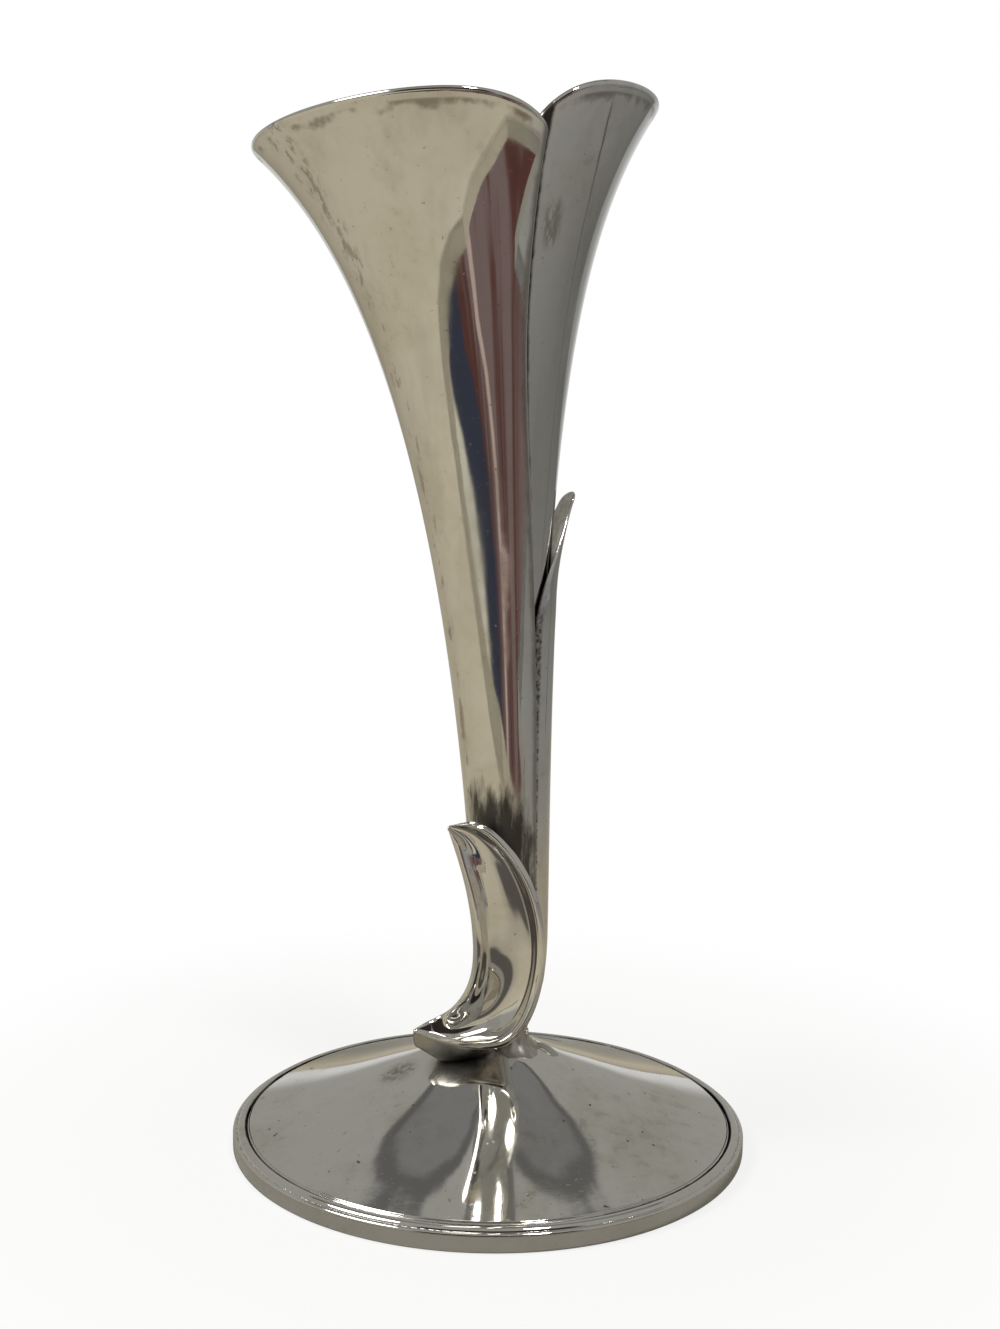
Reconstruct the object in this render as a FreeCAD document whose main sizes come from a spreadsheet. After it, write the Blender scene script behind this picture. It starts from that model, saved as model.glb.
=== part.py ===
import FreeCAD, Part
import math
import os

import Sketcher
from FreeCAD import Placement, Rotation, Vector

# A lily-shaped bud vase. One heavy plated sheet is rolled into a trumpet with a lapped seam,
# two leaves are soldered to its stem, and the stem stands on a spun foot with an applied rim.
# Origin: centre of the foot's underside, +Z up, the seam faces the front (-Y). Millimetres.
# Bearings are in degrees from the front (-Y) towards the right (+X).

SIZES = {
    # foot
    "foot_diameter": 86.0,
    "dome_height": 17.9,
    "dome_wall": 0.9,
    "crown_flat": 1.5,
    "crown_radius": 10.0,
    "crown_drop": 2.2,
    "flank_bend_radius": 260.0,
    "flange_width": 1.3,
    "ring_height": 3.2,
    "ring_width": 3.8,
    "ring_round": 0.6,
    "bead_width": 1.5,
    "bead_step": 0.45,
    "bead_radius": 0.95,
    "groove_width": 0.4,
    "ledge_depth": 0.8,
    # stem line and trumpet
    "stem_radius": 5.2,
    "stem_offset": 4.7,
    "stem_set_back": 2.5,
    "stem_tilt": 1.8,
    "lean_bearing": -135.0,
    "bend_radius": 1042.0,
    "trumpet_length": 149.5,
    "mouth_radius": 32.6,
    "lip_spread": 3.15,
    "wall": 1.2,
    "tail_length": 18.0,
    "tube_start": 8.0,
    "plug_length": 5.0,
    "plug_fit": 0.05,
    # lapped seam
    "lap_width": 3.5,
    "lap_gap": 0.1,
    "joggle_angle": 70.0,
    "seam_bearing_mouth": 30.0,
    "seam_bearing_stem": 55.0,
    "seam_turn_low": 42.0,
    "seam_turn_high": 122.0,
    "notch_outer": 6.2,
    "notch_inner": 9.0,
    "corner_outer": 8.3,
    "corner_inner": 5.2,
    "solder_leg": 0.5,
    "seam_solder_short": 9.5,
    # long back leaf
    "back_leaf_bearing": 115.0,
    "back_leaf_start": 9.0,
    "back_leaf_length": 82.0,
    "back_leaf_half_angle": 62.0,
    "back_leaf_thickness": 0.95,
    "back_leaf_tip": 1.2,
    "back_leaf_round": 1.6,
    "back_leaf_curl": 3.4,
    "seat_gap": 0.12,
    # short front leaf
    "front_leaf_height": 36.0,
    "front_leaf_lift": 2.7,
    "front_leaf_half_width": 6.1,
    "front_leaf_stand": 2.8,
    "front_leaf_wall": 1.6,
    "front_leaf_rim": 1.7,
    "front_leaf_dish": 1.7,
    "front_leaf_heel": 5.4,
    # solder at the foot
    "collar_spread": 2.25,
    "collar_height": 2.6,
    "collar_depth": 2.4,
    "blob_radius": 1.5,
    "blob_bearing": 105.0,
}

doc = FreeCAD.newDocument("trumpet_vase")
sheet = doc.addObject("Spreadsheet::Sheet", "Dims")
for row, (alias, number) in enumerate(SIZES.items(), start=1):
    sheet.set("A%d" % row, alias)
    sheet.set("B%d" % row, str(number))
    sheet.setAlias("B%d" % row, alias)
doc.recompute()


class Size:
    """A length together with the sheet expression that gives it."""

    def __init__(self, number, text):
        self.number = number
        self.text = text

    def joined(self, other, sign, number):
        right = other.text if isinstance(other, Size) else repr(other)
        return Size(number, "(%s %s %s)" % (self.text, sign, right))

    def __add__(self, other):
        return self.joined(other, "+", self.number + plain(other))

    def __sub__(self, other):
        return self.joined(other, "-", self.number - plain(other))

    def __mul__(self, other):
        return self.joined(other, "*", self.number * plain(other))

    def __truediv__(self, other):
        return self.joined(other, "/", self.number / plain(other))


def plain(thing):
    return thing.number if isinstance(thing, Size) else thing


def size(alias):
    return Size(float(sheet.get(alias)), "Dims." + alias)


def mm(alias):
    return float(sheet.get(alias))


ZERO = Size(0.0, "0")


def bound(sketch, constraint, measure):
    """Add a measured constraint and bind it to the sheet."""
    index = sketch.addConstraint(constraint)
    sketch.setExpression("Constraints[%d]" % index, measure.text)


def arc_between(start, end, radius):
    """Minor arc between two corners; a positive radius bulges to the left of the way."""
    chord = end - start
    side = Vector(-chord.y, chord.x, 0).normalize()
    reach = math.copysign(math.sqrt(radius ** 2 - chord.Length ** 2 / 4), radius)
    centre = (start + end) * 0.5 - side * reach
    first, last = (end, start) if radius > 0 else (start, end)
    angles = [math.atan2(spot.y - centre.y, spot.x - centre.x) for spot in (first, last)]
    return Part.ArcOfCircle(Part.Circle(centre, Vector(0, 0, 1), abs(radius)), *angles)


def profile(body, name, corners, bulges):
    """A closed outline in the body's XZ plane; bulges gives some edges an arc radius."""
    plane = [f for f in body.Origin.OriginFeatures if f.Role == "XZ_Plane"][0]
    sketch = body.newObject("Sketcher::SketchObject", name)
    sketch.AttachmentSupport = [(plane, "")]
    sketch.MapMode = "FlatFace"
    spots = [Vector(x.number, y.number, 0) for x, y in corners]
    count = len(spots)
    for i in range(count):
        start, end = spots[i], spots[(i + 1) % count]
        if i in bulges:
            sketch.addGeometry(arc_between(start, end, bulges[i][0] * bulges[i][1].number))
        else:
            sketch.addGeometry(Part.LineSegment(start, end))
    ends = {}
    for i in range(count):
        curve = sketch.Geometry[i]
        forward = (curve.StartPoint - spots[i]).Length < (curve.EndPoint - spots[i]).Length
        ends[i] = (1, 2) if forward else (2, 1)
    for i in range(count):
        after = (i + 1) % count
        sketch.addConstraint(Sketcher.Constraint("Coincident", i, ends[i][1], after, ends[after][0]))
    for i, corner in enumerate(corners):
        for kind, measure, axis in (("DistanceX", corner[0], -2), ("DistanceY", corner[1], -1)):
            if measure is ZERO:
                sketch.addConstraint(Sketcher.Constraint("PointOnObject", i, ends[i][0], axis))
            else:
                place = Sketcher.Constraint(kind, -1, 1, i, ends[i][0], measure.number)
                bound(sketch, place, measure)
    for i, (_, radius) in bulges.items():
        bound(sketch, Sketcher.Constraint("Radius", i, radius.number), radius)
    return sketch


def turned(name, corners, bulges):
    """A piece turned about its own Z axis from a closed outline."""
    body = doc.addObject("PartDesign::Body", name)
    body.Label = name
    sketch = profile(body, name + "_outline", corners, bulges)
    turn = body.newObject("PartDesign::Revolution", name + "_turn")
    turn.Profile = sketch
    turn.ReferenceAxis = (sketch, ["V_Axis"])
    turn.Angle = 360
    sketch.Visibility = False
    return body


def made(name, shape):
    """A piece whose shape comes from surfaces rather than from a sketch."""
    piece = doc.addObject("Part::Feature", name)
    piece.Label = name
    piece.Shape = shape
    return piece


def largest(shape):
    return max(shape.Solids, key=lambda solid: solid.Volume)


def highest(shape):
    return max(shape.Solids, key=lambda solid: solid.CenterOfMass.z)


def spun(outline):
    """A solid turned about Z from a closed outline of edges in the XZ plane."""
    return Part.Face(Part.Wire(outline)).revolve(Vector(0, 0, 0), Vector(0, 0, 1), 360)


def straight(spots):
    return [Part.LineSegment(a, b).toShape() for a, b in zip(spots, spots[1:])]


# Stem line: a gentle arc that leans back and to the left

LEAN = math.radians(mm("lean_bearing"))
LEAN_WAY = Vector(math.sin(LEAN), -math.cos(LEAN), 0)
UP = Vector(0, 0, 1)


def tilt_at(along):
    return math.radians(mm("stem_tilt")) + along / mm("bend_radius")


def stem_point(along):
    """Centre of the stem at a distance along it from the crown of the foot."""
    start = math.radians(mm("stem_tilt"))
    aside = (math.cos(start) - math.cos(tilt_at(along))) * mm("bend_radius") - mm("stem_offset")
    height = (math.sin(tilt_at(along)) - math.sin(start)) * mm("bend_radius") + mm("dome_height")
    return LEAN_WAY * aside + UP * height + Vector(0, mm("stem_set_back"), 0)


def stem_way(along):
    return LEAN_WAY * math.sin(tilt_at(along)) + UP * math.cos(tilt_at(along))


def outward(along, bearing):
    """Unit vector square to the stem line, at a bearing from the front."""
    turn = math.radians(bearing)
    level = Vector(math.sin(turn), -math.cos(turn), 0)
    lean_part = level.dot(LEAN_WAY)
    flat = level - LEAN_WAY * lean_part
    leaning = LEAN_WAY * math.cos(tilt_at(along)) - UP * math.sin(tilt_at(along))
    return flat + leaning * lean_part


def eased(share):
    share = min(max(share, 0.0), 1.0)
    return share * share * (3.0 - 2.0 * share)


# Trumpet: a lapped sheet whose radius grows along the stem line

FLARE_RATE = 3.277
LIP_POWER = 14
TAIL_SHARE = 0.55
SLOPE_STEP_SHARE = 0.1


def flare_radius(along):
    """Outer radius of the sheet: slow swell, quick flare, last spread at the lip."""
    share = along / mm("trumpet_length")
    spread = mm("mouth_radius") - mm("lip_spread") - mm("stem_radius")
    grown = (math.exp(FLARE_RATE * share) - 1.0) / (math.exp(FLARE_RATE) - 1.0)
    radius = mm("stem_radius") + spread * grown + mm("lip_spread") * abs(share) ** LIP_POWER
    tail = max(mm("tail_length") - along, 0.0) / mm("tail_length")
    return radius * (1.0 - TAIL_SHARE * tail * tail)


def flare_slope(along):
    step = mm("wall") * SLOPE_STEP_SHARE
    rise = flare_radius(along + step) - flare_radius(along - step)
    return math.atan2(rise, 2 * step)


def flare_point(along, bearing, offset):
    """A point at an offset square to the flared surface."""
    slope = flare_slope(along)
    reach = flare_radius(along) + offset * math.cos(slope)
    side = outward(along, bearing) * reach
    return stem_point(along) + side - stem_way(along) * (offset * math.sin(slope))


def seam_bearing(along):
    span = mm("seam_turn_high") - mm("seam_turn_low")
    low = eased((mm("seam_turn_high") - along) / span)
    turn = mm("seam_bearing_stem") - mm("seam_bearing_mouth")
    return mm("seam_bearing_mouth") + turn * low


def lap_angle(along):
    return math.degrees(mm("lap_width") / flare_radius(along))


def sheet_bearing(along, share):
    """Bearing across the sheet, from its hidden inner edge (0) to its seam edge (1)."""
    lap = lap_angle(along)
    return seam_bearing(along) - lap + share * (360.0 + lap)


def sheet_offset(along, bearing):
    """The inner end of the sheet is joggled inwards so that the outer end lies over it."""
    past = (bearing - seam_bearing(along)) / mm("joggle_angle")
    return -(mm("wall") + mm("lap_gap")) * (1.0 - eased(past))


def rim_end(share):
    """Length of the sheet at a share of its width: two rounded corners make the notch."""
    lap = mm("lap_width")
    width = 2 * math.pi * mm("mouth_radius") + lap
    outer = mm("notch_outer") * math.exp(-(1.0 - share) * width / mm("corner_outer"))
    inner = mm("notch_inner") * math.exp(-share * width / mm("corner_inner"))
    return mm("trumpet_length") - outer - inner


def crowded(count):
    """Shares from 0 to 1 that lie closer together near both ends."""
    return [0.5 - 0.5 * math.cos(math.pi * i / count) for i in range(count + 1)]


COLUMNS = 18
ROWS = 9
ROW_POWER = 1.5
ROUND_STEPS = 3
AROUND = crowded(COLUMNS)
ALONG = [1.0 - (1.0 - i / ROWS) ** ROW_POWER for i in range(ROWS + 1)]


def curve_through(spots, shares):
    curve = Part.BSplineCurve()
    curve.interpolate(Points=spots, Parameters=shares)
    return curve


def surface(columns, across, along):
    """A smooth face through a grid of points; faces with the same shares meet exactly."""
    rows = [curve_through(list(row), across) for row in zip(*columns)]
    poles = [row.getPoles() for row in rows]
    lines = [curve_through(list(column), along) for column in zip(*poles)]
    face = Part.BSplineSurface()
    first, line = rows[0], lines[0]
    face.buildFromPolesMultsKnots(
        [one.getPoles() for one in lines],
        first.getMultiplicities(), line.getMultiplicities(),
        first.getKnots(), line.getKnots(),
        False, False, first.Degree, line.Degree)
    return face


def sheet_point(share, rise, depth):
    along = mm("tube_start") + (rim_end(share) - mm("tube_start")) * rise
    bearing = sheet_bearing(along, share)
    return flare_point(along, bearing, sheet_offset(along, bearing) - depth)


def rim_point(share, turn):
    """The rim's edge is half round, from the outer face over the top to the inner face."""
    half = mm("wall") / 2
    outer = sheet_point(share, 1.0, 0.0)
    inner = sheet_point(share, 1.0, mm("wall"))
    middle = (outer + inner) * 0.5
    normal = (outer - inner).normalize()
    along = rim_end(share)
    bearing = sheet_bearing(along, share)
    run = stem_way(along) * math.cos(flare_slope(along))
    run = run + outward(along, bearing) * math.sin(flare_slope(along))
    upward = (run - normal * run.dot(normal)).normalize()
    return middle + normal * (half * math.cos(turn)) + upward * (half * math.sin(turn))


def trumpet_solid():
    outer, inner = [
        surface([[sheet_point(a, b, depth) for b in ALONG] for a in AROUND], AROUND, ALONG)
        for depth in (0.0, mm("wall"))]
    turns = [i / ROUND_STEPS for i in range(ROUND_STEPS + 1)]
    rim = surface([[rim_point(a, math.pi * t) for t in turns] for a in AROUND], AROUND, turns)
    faces = [outer.toShape(), inner.toShape(), rim.toShape()]
    for edge in (0.0, 1.0):
        side = (outer.uIso(edge).toShape(), inner.uIso(edge).toShape())
        faces.append(Part.makeRuledSurface(*side))
        half_disc = [rim.uIso(edge).toShape()]
        ends = (outer.value(edge, 1.0), inner.value(edge, 1.0))
        half_disc.append(Part.LineSegment(*ends).toShape())
        faces.append(Part.Face(Part.Wire(Part.__sortEdges__(half_disc))))
    low = (outer.vIso(0.0).toShape(), inner.vIso(0.0).toShape())
    faces.append(Part.makeRuledSurface(*low))
    skin = Part.makeCompound(faces)
    skin.sewShape()
    solid = Part.makeSolid(skin.Shells[0])
    if solid.Volume < 0:
        solid.reverse()
    return solid


CORE_STATIONS = 7
CORE_REACH_SHARE = 1.3


def stem_core(first, last):
    """Everything within the stem's outer face, and a hair over, that leaf and solder lie on."""
    rings = []
    for i in range(CORE_STATIONS):
        along = first + (last - first) * i / (CORE_STATIONS - 1)
        radius = flare_radius(along) + mm("seat_gap")
        circle = Part.Circle(stem_point(along), stem_way(along), radius)
        rings.append(Part.Wire(circle.toShape()))
    return Part.makeLoft(rings, True, False)


# Bung: it closes the tube's lower end and stands on the crown of the foot

BUNG_ROWS = 6
BUNG_SINK_SHARE = 0.65


def stem_base_solid(dome):
    start = mm("tube_start")
    sink = mm("dome_wall") * BUNG_SINK_SHARE
    side = []
    for i in range(BUNG_ROWS):
        along = -sink + (start + sink) * i / (BUNG_ROWS - 1)
        side.append(Vector(flare_radius(along), 0, along - start))
    curve = Part.BSplineCurve()
    curve.interpolate(side)
    shank = flare_radius(start) - 2 * mm("wall") - mm("lap_gap") - mm("plug_fit")
    top = mm("plug_length")
    rest = [side[-1], Vector(shank, 0, 0), Vector(shank, 0, top), Vector(0, 0, top),
            Vector(0, 0, side[0].z), side[0]]
    bung = spun([curve.toShape()] + straight(rest))
    bung.Placement = Placement(stem_point(start), Rotation(UP, stem_way(start)))
    return highest(bung.cut(dome))


# Solder fillet round the foot of the stem, with the bead that ran out of it

KNEE_SHARE = 0.3
BLOB_REACH_SHARE = 0.96

def base_solder_solid(others):
    neck = flare_radius(mm("collar_height"))
    foot = Vector(neck + mm("collar_spread"), 0, -mm("collar_depth"))
    top = Vector(neck, 0, mm("collar_height"))
    knee = Vector(neck + mm("collar_spread") * KNEE_SHARE, 0, 0)
    outline = [Part.Arc(foot, knee, top).toShape()]
    outline += straight([top, Vector(0, 0, top.z), Vector(0, 0, foot.z), foot])
    collar = spun(outline)
    collar.Placement = Placement(stem_point(0.0), Rotation())
    turn = math.radians(mm("blob_bearing"))
    aside = Vector(math.sin(turn), -math.cos(turn), 0) * (foot.x * BLOB_REACH_SHARE)
    blob = Part.makeSphere(mm("blob_radius"), stem_point(0.0) + aside - UP * mm("blob_radius"))
    solder = collar.fuse(blob)
    for other in others:
        solder = solder.cut(other)
    return highest(solder)


# Solder line in the corner between the seam edge and the sheet under it

SOLDER_STATIONS = 16


def seam_solder_solid():
    start = mm("tube_start")
    span = mm("trumpet_length") - mm("seam_solder_short") - start
    sections = []
    for i in range(SOLDER_STATIONS):
        along = start + span * i / (SOLDER_STATIONS - 1)
        edge = seam_bearing(along) + math.degrees(mm("seat_gap") / flare_radius(along))
        leg = math.degrees(mm("solder_leg") / flare_radius(along))
        under = mm("seat_gap") - mm("wall") - mm("lap_gap")
        corner = flare_point(along, edge, under)
        up = flare_point(along, edge, under + mm("solder_leg"))
        out = flare_point(along, edge + leg, under)
        sections.append(Part.makePolygon([corner, out, up, corner]))
    return Part.makeLoft(sections, True, False)


# Long leaf: a thin blade that hugs the stem and curls away at its tip

BLADE_STATIONS = 9
TIP_TURN_SHARES = [0.3, 0.6, 0.88]
LEAF_POINTS = 7
SHOULDER_SHARE = 0.55
HEEL_SHARE = 0.25
HEEL_NARROW_SHARE = 0.35
CURL_SHARE = 0.62
EDGE_THICK_SHARE = 0.6
CROWN_ROUND_SHARE = 0.9


def back_leaf_half(share):
    """Half angle of the blade: rounded at the heel, full to the shoulder, then to the tip."""
    along = mm("back_leaf_start") + mm("back_leaf_length") * share
    tip = math.degrees(mm("back_leaf_tip") / flare_radius(along))
    full = mm("back_leaf_half_angle")
    narrow = eased((share - SHOULDER_SHARE) / (1.0 - SHOULDER_SHARE))
    heel = 1.0 - eased(share / HEEL_SHARE)
    return tip + (full - tip) * (1.0 - narrow) * (1.0 - HEEL_NARROW_SHARE * heel)


def back_leaf_section(share, narrowing):
    along = mm("back_leaf_start") + mm("back_leaf_length") * share
    half = back_leaf_half(share) * narrowing
    lift = max(share - CURL_SHARE, 0.0) / (1.0 - CURL_SHARE)
    seat = flare_radius(along) + mm("seat_gap") + mm("back_leaf_curl") * lift ** 2
    thick = mm("back_leaf_thickness")
    inner, outer = [], []
    for i in range(LEAF_POINTS):
        across = 2.0 * i / (LEAF_POINTS - 1) - 1.0
        bearing = mm("back_leaf_bearing") + half * across
        side = outward(along, bearing)
        swell = math.sqrt(1.0 - across * across * CROWN_ROUND_SHARE)
        crown = thick * (EDGE_THICK_SHARE + (1.0 - EDGE_THICK_SHARE) * swell)
        inner.append(stem_point(along) + side * seat)
        outer.append(stem_point(along) + side * (seat + crown))
    outer.reverse()
    edges = []
    for row in (inner, outer):
        curve = Part.BSplineCurve()
        curve.interpolate(row)
        edges.append(curve.toShape())
    edges.insert(1, Part.LineSegment(inner[-1], outer[0]).toShape())
    edges.append(Part.LineSegment(outer[-1], inner[0]).toShape())
    return Part.Wire(edges)


def back_leaf_solid():
    """Even sections up the blade, then closer ones round its tip."""
    rounding = mm("back_leaf_round") / mm("back_leaf_length")
    blade = 1.0 - rounding
    sections = [back_leaf_section(blade * i / (BLADE_STATIONS - 1), 1.0)
                for i in range(BLADE_STATIONS)]
    for turn_share in TIP_TURN_SHARES:
        turn = turn_share * math.pi / 2
        sections.append(back_leaf_section(blade + rounding * math.sin(turn), math.cos(turn)))
    return Part.makeLoft(sections, True, False)


# Short leaf: a dished casting between two rims that meet at both tips

RIGHT_RIM_SHARES = [(-1.75, -0.97, 1.0), (-0.99, -0.90, 1.02), (-0.19, -1.0, 0.935),
                    (0.77, -0.97, 0.63), (0.84, -1.02, 0.27), (-0.08, -1.22, 0.0),
                    (-1.74, -1.07, 0.0), (-2.65, -0.6, 0.015)]
LEFT_RIM_SHARES = [(-1.75, -0.97, 1.0), (-1.26, -0.98, 0.73), (-1.04, -1.0, 0.5),
                   (-1.36, -0.52, 0.165), (-2.07, -0.25, 0.035), (-2.65, -0.6, 0.015)]
DISH_STATIONS = 8
DISH_FIRST_SHARE = 0.015
DISH_LAST_SHARE = 0.985
RIM_MOST_SHARE = 0.6
HOLLOW_SHARES = [0.0, 0.08, 0.18, 0.34, 0.5, 0.66, 0.82, 0.92, 1.0]
UNDER_SHARES = [0.0, 0.2, 0.5, 0.8, 1.0]
HEEL_FROM_SHARE = 0.55
HEEL_FULL_SHARE = 0.8
HEEL_LEFT_SHARE = 0.35


def rim_curve(shares):
    base = stem_point(0.0)
    spots = []
    for across, forward, up in shares:
        x = base.x + across * mm("front_leaf_half_width")
        y = base.y + forward * (mm("stem_radius") + mm("front_leaf_stand"))
        z = base.z + mm("front_leaf_lift") + up * mm("front_leaf_height")
        spots.append(Vector(x, y, z))
    curve = Part.BSplineCurve()
    curve.interpolate(spots)
    return curve


def at_share(curve, share):
    return curve.value(curve.parameterAtDistance(curve.length() * share, curve.FirstParameter))


def dish_section(share, right_rim, left_rim, line):
    """One cut across the dish: hollow inside, rounded rims, fuller towards the heel."""
    right = at_share(right_rim, share)
    left = at_share(left_rim, share)
    middle = (right + left) * 0.5
    width = (right - left).Length
    across = (right - left).normalize()
    way = line.tangent(line.parameter(middle))[0]
    opening = way.cross(across).normalize()
    body = math.sin(math.pi * share)
    rim = min(mm("front_leaf_rim") / width, RIM_MOST_SHARE / 2)
    deep = mm("front_leaf_dish") * body
    swelling = eased((share - HEEL_FROM_SHARE) / (HEEL_FULL_SHARE - HEEL_FROM_SHARE))
    fading = eased((share - HEEL_FULL_SHARE) / (1.0 - HEEL_FULL_SHARE))
    heel = mm("front_leaf_heel") * swelling * (1.0 - (1.0 - HEEL_LEFT_SHARE) * fading)
    back = deep + mm("front_leaf_wall") * (1.0 + body) / 2 + heel
    hollow, under = [], []
    for place in HOLLOW_SHARES:
        side = abs(2.0 * place - 1.0)
        if side > 1.0 - 2 * rim:
            from_edge = (1.0 - side) / (2 * rim)
            level = rim * width / 2 * math.sin(math.pi * from_edge)
        else:
            level = -deep * (1.0 - (side / (1.0 - 2 * rim)) ** 2)
        hollow.append(left + across * (width * place) + opening * level)
    for place in UNDER_SHARES:
        side = 2.0 * place - 1.0
        under.append(left + across * (width * place) - opening * back * math.sqrt(1.0 - side ** 2))
    edges = [curve_through(hollow, HOLLOW_SHARES), curve_through(under, UNDER_SHARES)]
    edges[1].reverse()
    return Part.Wire([edge.toShape() for edge in edges])


def front_leaf_solid(others):
    right_rim = rim_curve(RIGHT_RIM_SHARES)
    left_rim = rim_curve(LEFT_RIM_SHARES)
    span = DISH_LAST_SHARE - DISH_FIRST_SHARE
    shares = [DISH_FIRST_SHARE + span * i / (DISH_STATIONS - 1) for i in range(DISH_STATIONS)]
    line = Part.BSplineCurve()
    line.interpolate([(at_share(right_rim, s) + at_share(left_rim, s)) * 0.5 for s in shares])
    sections = [dish_section(s, right_rim, left_rim, line) for s in shares]
    leaf = Part.makeLoft(sections, True, False)
    for other in others:
        leaf = leaf.cut(other)
    return largest(leaf)


# Foot

FOOT_RADIUS = size("foot_diameter") / 2
GROOVE_RADIUS = FOOT_RADIUS - size("ring_round") - size("bead_width")
LEDGE_HEIGHT = size("ring_height") + size("bead_step") - size("ledge_depth")


def foot_rim_ring():
    inside = FOOT_RADIUS - size("ring_width")
    shoulder = FOOT_RADIUS - size("ring_round")
    corners = [
        (inside, ZERO),
        (shoulder, ZERO),
        (FOOT_RADIUS, size("ring_round")),
        (FOOT_RADIUS, size("ring_height") - size("ring_round")),
        (shoulder, size("ring_height")),
        (GROOVE_RADIUS, size("ring_height") + size("bead_step")),
        (GROOVE_RADIUS, LEDGE_HEIGHT),
        (inside, LEDGE_HEIGHT),
    ]
    bulges = {1: (-1, size("ring_round")), 3: (-1, size("ring_round")), 4: (-1, size("bead_radius"))}
    return turned("foot_rim_ring", corners, bulges)


def foot_dome():
    edge = GROOVE_RADIUS - size("groove_width")
    flat = size("crown_flat")
    crown = size("crown_radius")
    drop = size("crown_drop")
    top = size("dome_height")
    wall = size("dome_wall")
    span = crown - flat
    crown_bend = (span * span + drop * drop) / (drop * 2)
    corners = [
        (ZERO, top - wall),
        (flat, top - wall),
        (crown, top - drop - wall),
        (edge - size("flange_width"), LEDGE_HEIGHT),
        (edge, LEDGE_HEIGHT),
        (edge, LEDGE_HEIGHT + wall),
        (crown, top - drop),
        (flat, top),
        (ZERO, top),
    ]
    flank = size("flank_bend_radius")
    bulges = {1: (1, crown_bend), 2: (-1, flank), 5: (1, flank), 6: (-1, crown_bend)}
    return turned("foot_dome", corners, bulges)


ring = foot_rim_ring()
dome = foot_dome()
doc.recompute()

trumpet = made("flower_trumpet", trumpet_solid())
seam = made("seam_solder", seam_solder_solid())
back_leaf = made("back_leaf", back_leaf_solid())
stem_base = made("stem_base", stem_base_solid(dome.Shape))
core = stem_core(-mm("dome_wall"), mm("front_leaf_height") * CORE_REACH_SHARE)
front_leaf = made("front_leaf", front_leaf_solid([dome.Shape, core]))
near = [dome.Shape, stem_base.Shape, trumpet.Shape, front_leaf.Shape, back_leaf.Shape]
solder = made("base_solder", base_solder_solid(near))
doc.recompute()

os.makedirs("parts", exist_ok=True)
PIECES = [ring, dome, stem_base, trumpet, seam, back_leaf, front_leaf, solder]
for item in doc.Objects:
    if "Invalid" in item.State or "Error" in item.State:
        raise RuntimeError("%s did not build: %s" % (item.Label, item.State))
for piece in PIECES:
    if piece.Shape.isNull() or not piece.Shape.isValid():
        raise RuntimeError("%s has no valid shape" % piece.Label)
    print(piece.Label, len(piece.Shape.Solids), round(piece.Shape.Volume, 1), piece.Shape.BoundBox)
    piece.Shape.exportStep("parts/%s.step" % piece.Label)
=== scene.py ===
import math

import bmesh
import bpy
import numpy as np
from mathutils import Matrix


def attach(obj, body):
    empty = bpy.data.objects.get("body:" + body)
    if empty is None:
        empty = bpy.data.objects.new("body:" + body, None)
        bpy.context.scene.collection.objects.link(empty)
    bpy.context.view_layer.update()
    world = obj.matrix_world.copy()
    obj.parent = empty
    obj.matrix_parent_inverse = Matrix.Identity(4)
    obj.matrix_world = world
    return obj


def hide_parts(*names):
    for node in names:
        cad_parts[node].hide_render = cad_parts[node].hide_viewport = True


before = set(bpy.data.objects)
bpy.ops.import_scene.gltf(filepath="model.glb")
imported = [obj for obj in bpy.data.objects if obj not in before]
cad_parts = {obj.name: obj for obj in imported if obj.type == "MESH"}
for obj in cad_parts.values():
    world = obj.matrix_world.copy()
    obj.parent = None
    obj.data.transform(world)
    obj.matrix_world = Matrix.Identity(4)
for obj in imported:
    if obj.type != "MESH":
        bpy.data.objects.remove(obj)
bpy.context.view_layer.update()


# Camera. It stands about a foot from the vase, a little below the level of the mouth, and looks
# slightly down with a long lens, as a phone held in front of a table does.
MM = 0.001
CAMERA_PLACE = (0.0, -322.44 * MM, 138.79 * MM)
CAMERA_PITCH = math.radians(10.028)
CAMERA_YAW = math.radians(0.139)
CAMERA_ROLL = math.radians(0.898)
CAMERA_FOCAL_SHARE = 2008.45 / 1329
SENSOR = 36.0

ahead = np.array([math.sin(CAMERA_YAW) * math.cos(CAMERA_PITCH),
                  math.cos(CAMERA_YAW) * math.cos(CAMERA_PITCH), -math.sin(CAMERA_PITCH)])
level = np.array([math.cos(CAMERA_YAW), -math.sin(CAMERA_YAW), 0.0])
above = np.cross(level, ahead)
right = level * math.cos(CAMERA_ROLL) + above * math.sin(CAMERA_ROLL)
upright = above * math.cos(CAMERA_ROLL) - level * math.sin(CAMERA_ROLL)
lens = bpy.data.cameras.new("front_camera")
lens.sensor_width = SENSOR
lens.lens = SENSOR * CAMERA_FOCAL_SHARE
lens.clip_start = 0.01
camera = bpy.data.objects.new("front_camera", lens)
camera.matrix_world = Matrix.Translation(CAMERA_PLACE) @ Matrix(
    np.column_stack([right, upright, -ahead]).tolist()).to_4x4()
bpy.context.collection.objects.link(camera)
bpy.context.scene.camera = camera
bpy.context.scene.view_settings.view_transform = "Standard"


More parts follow.
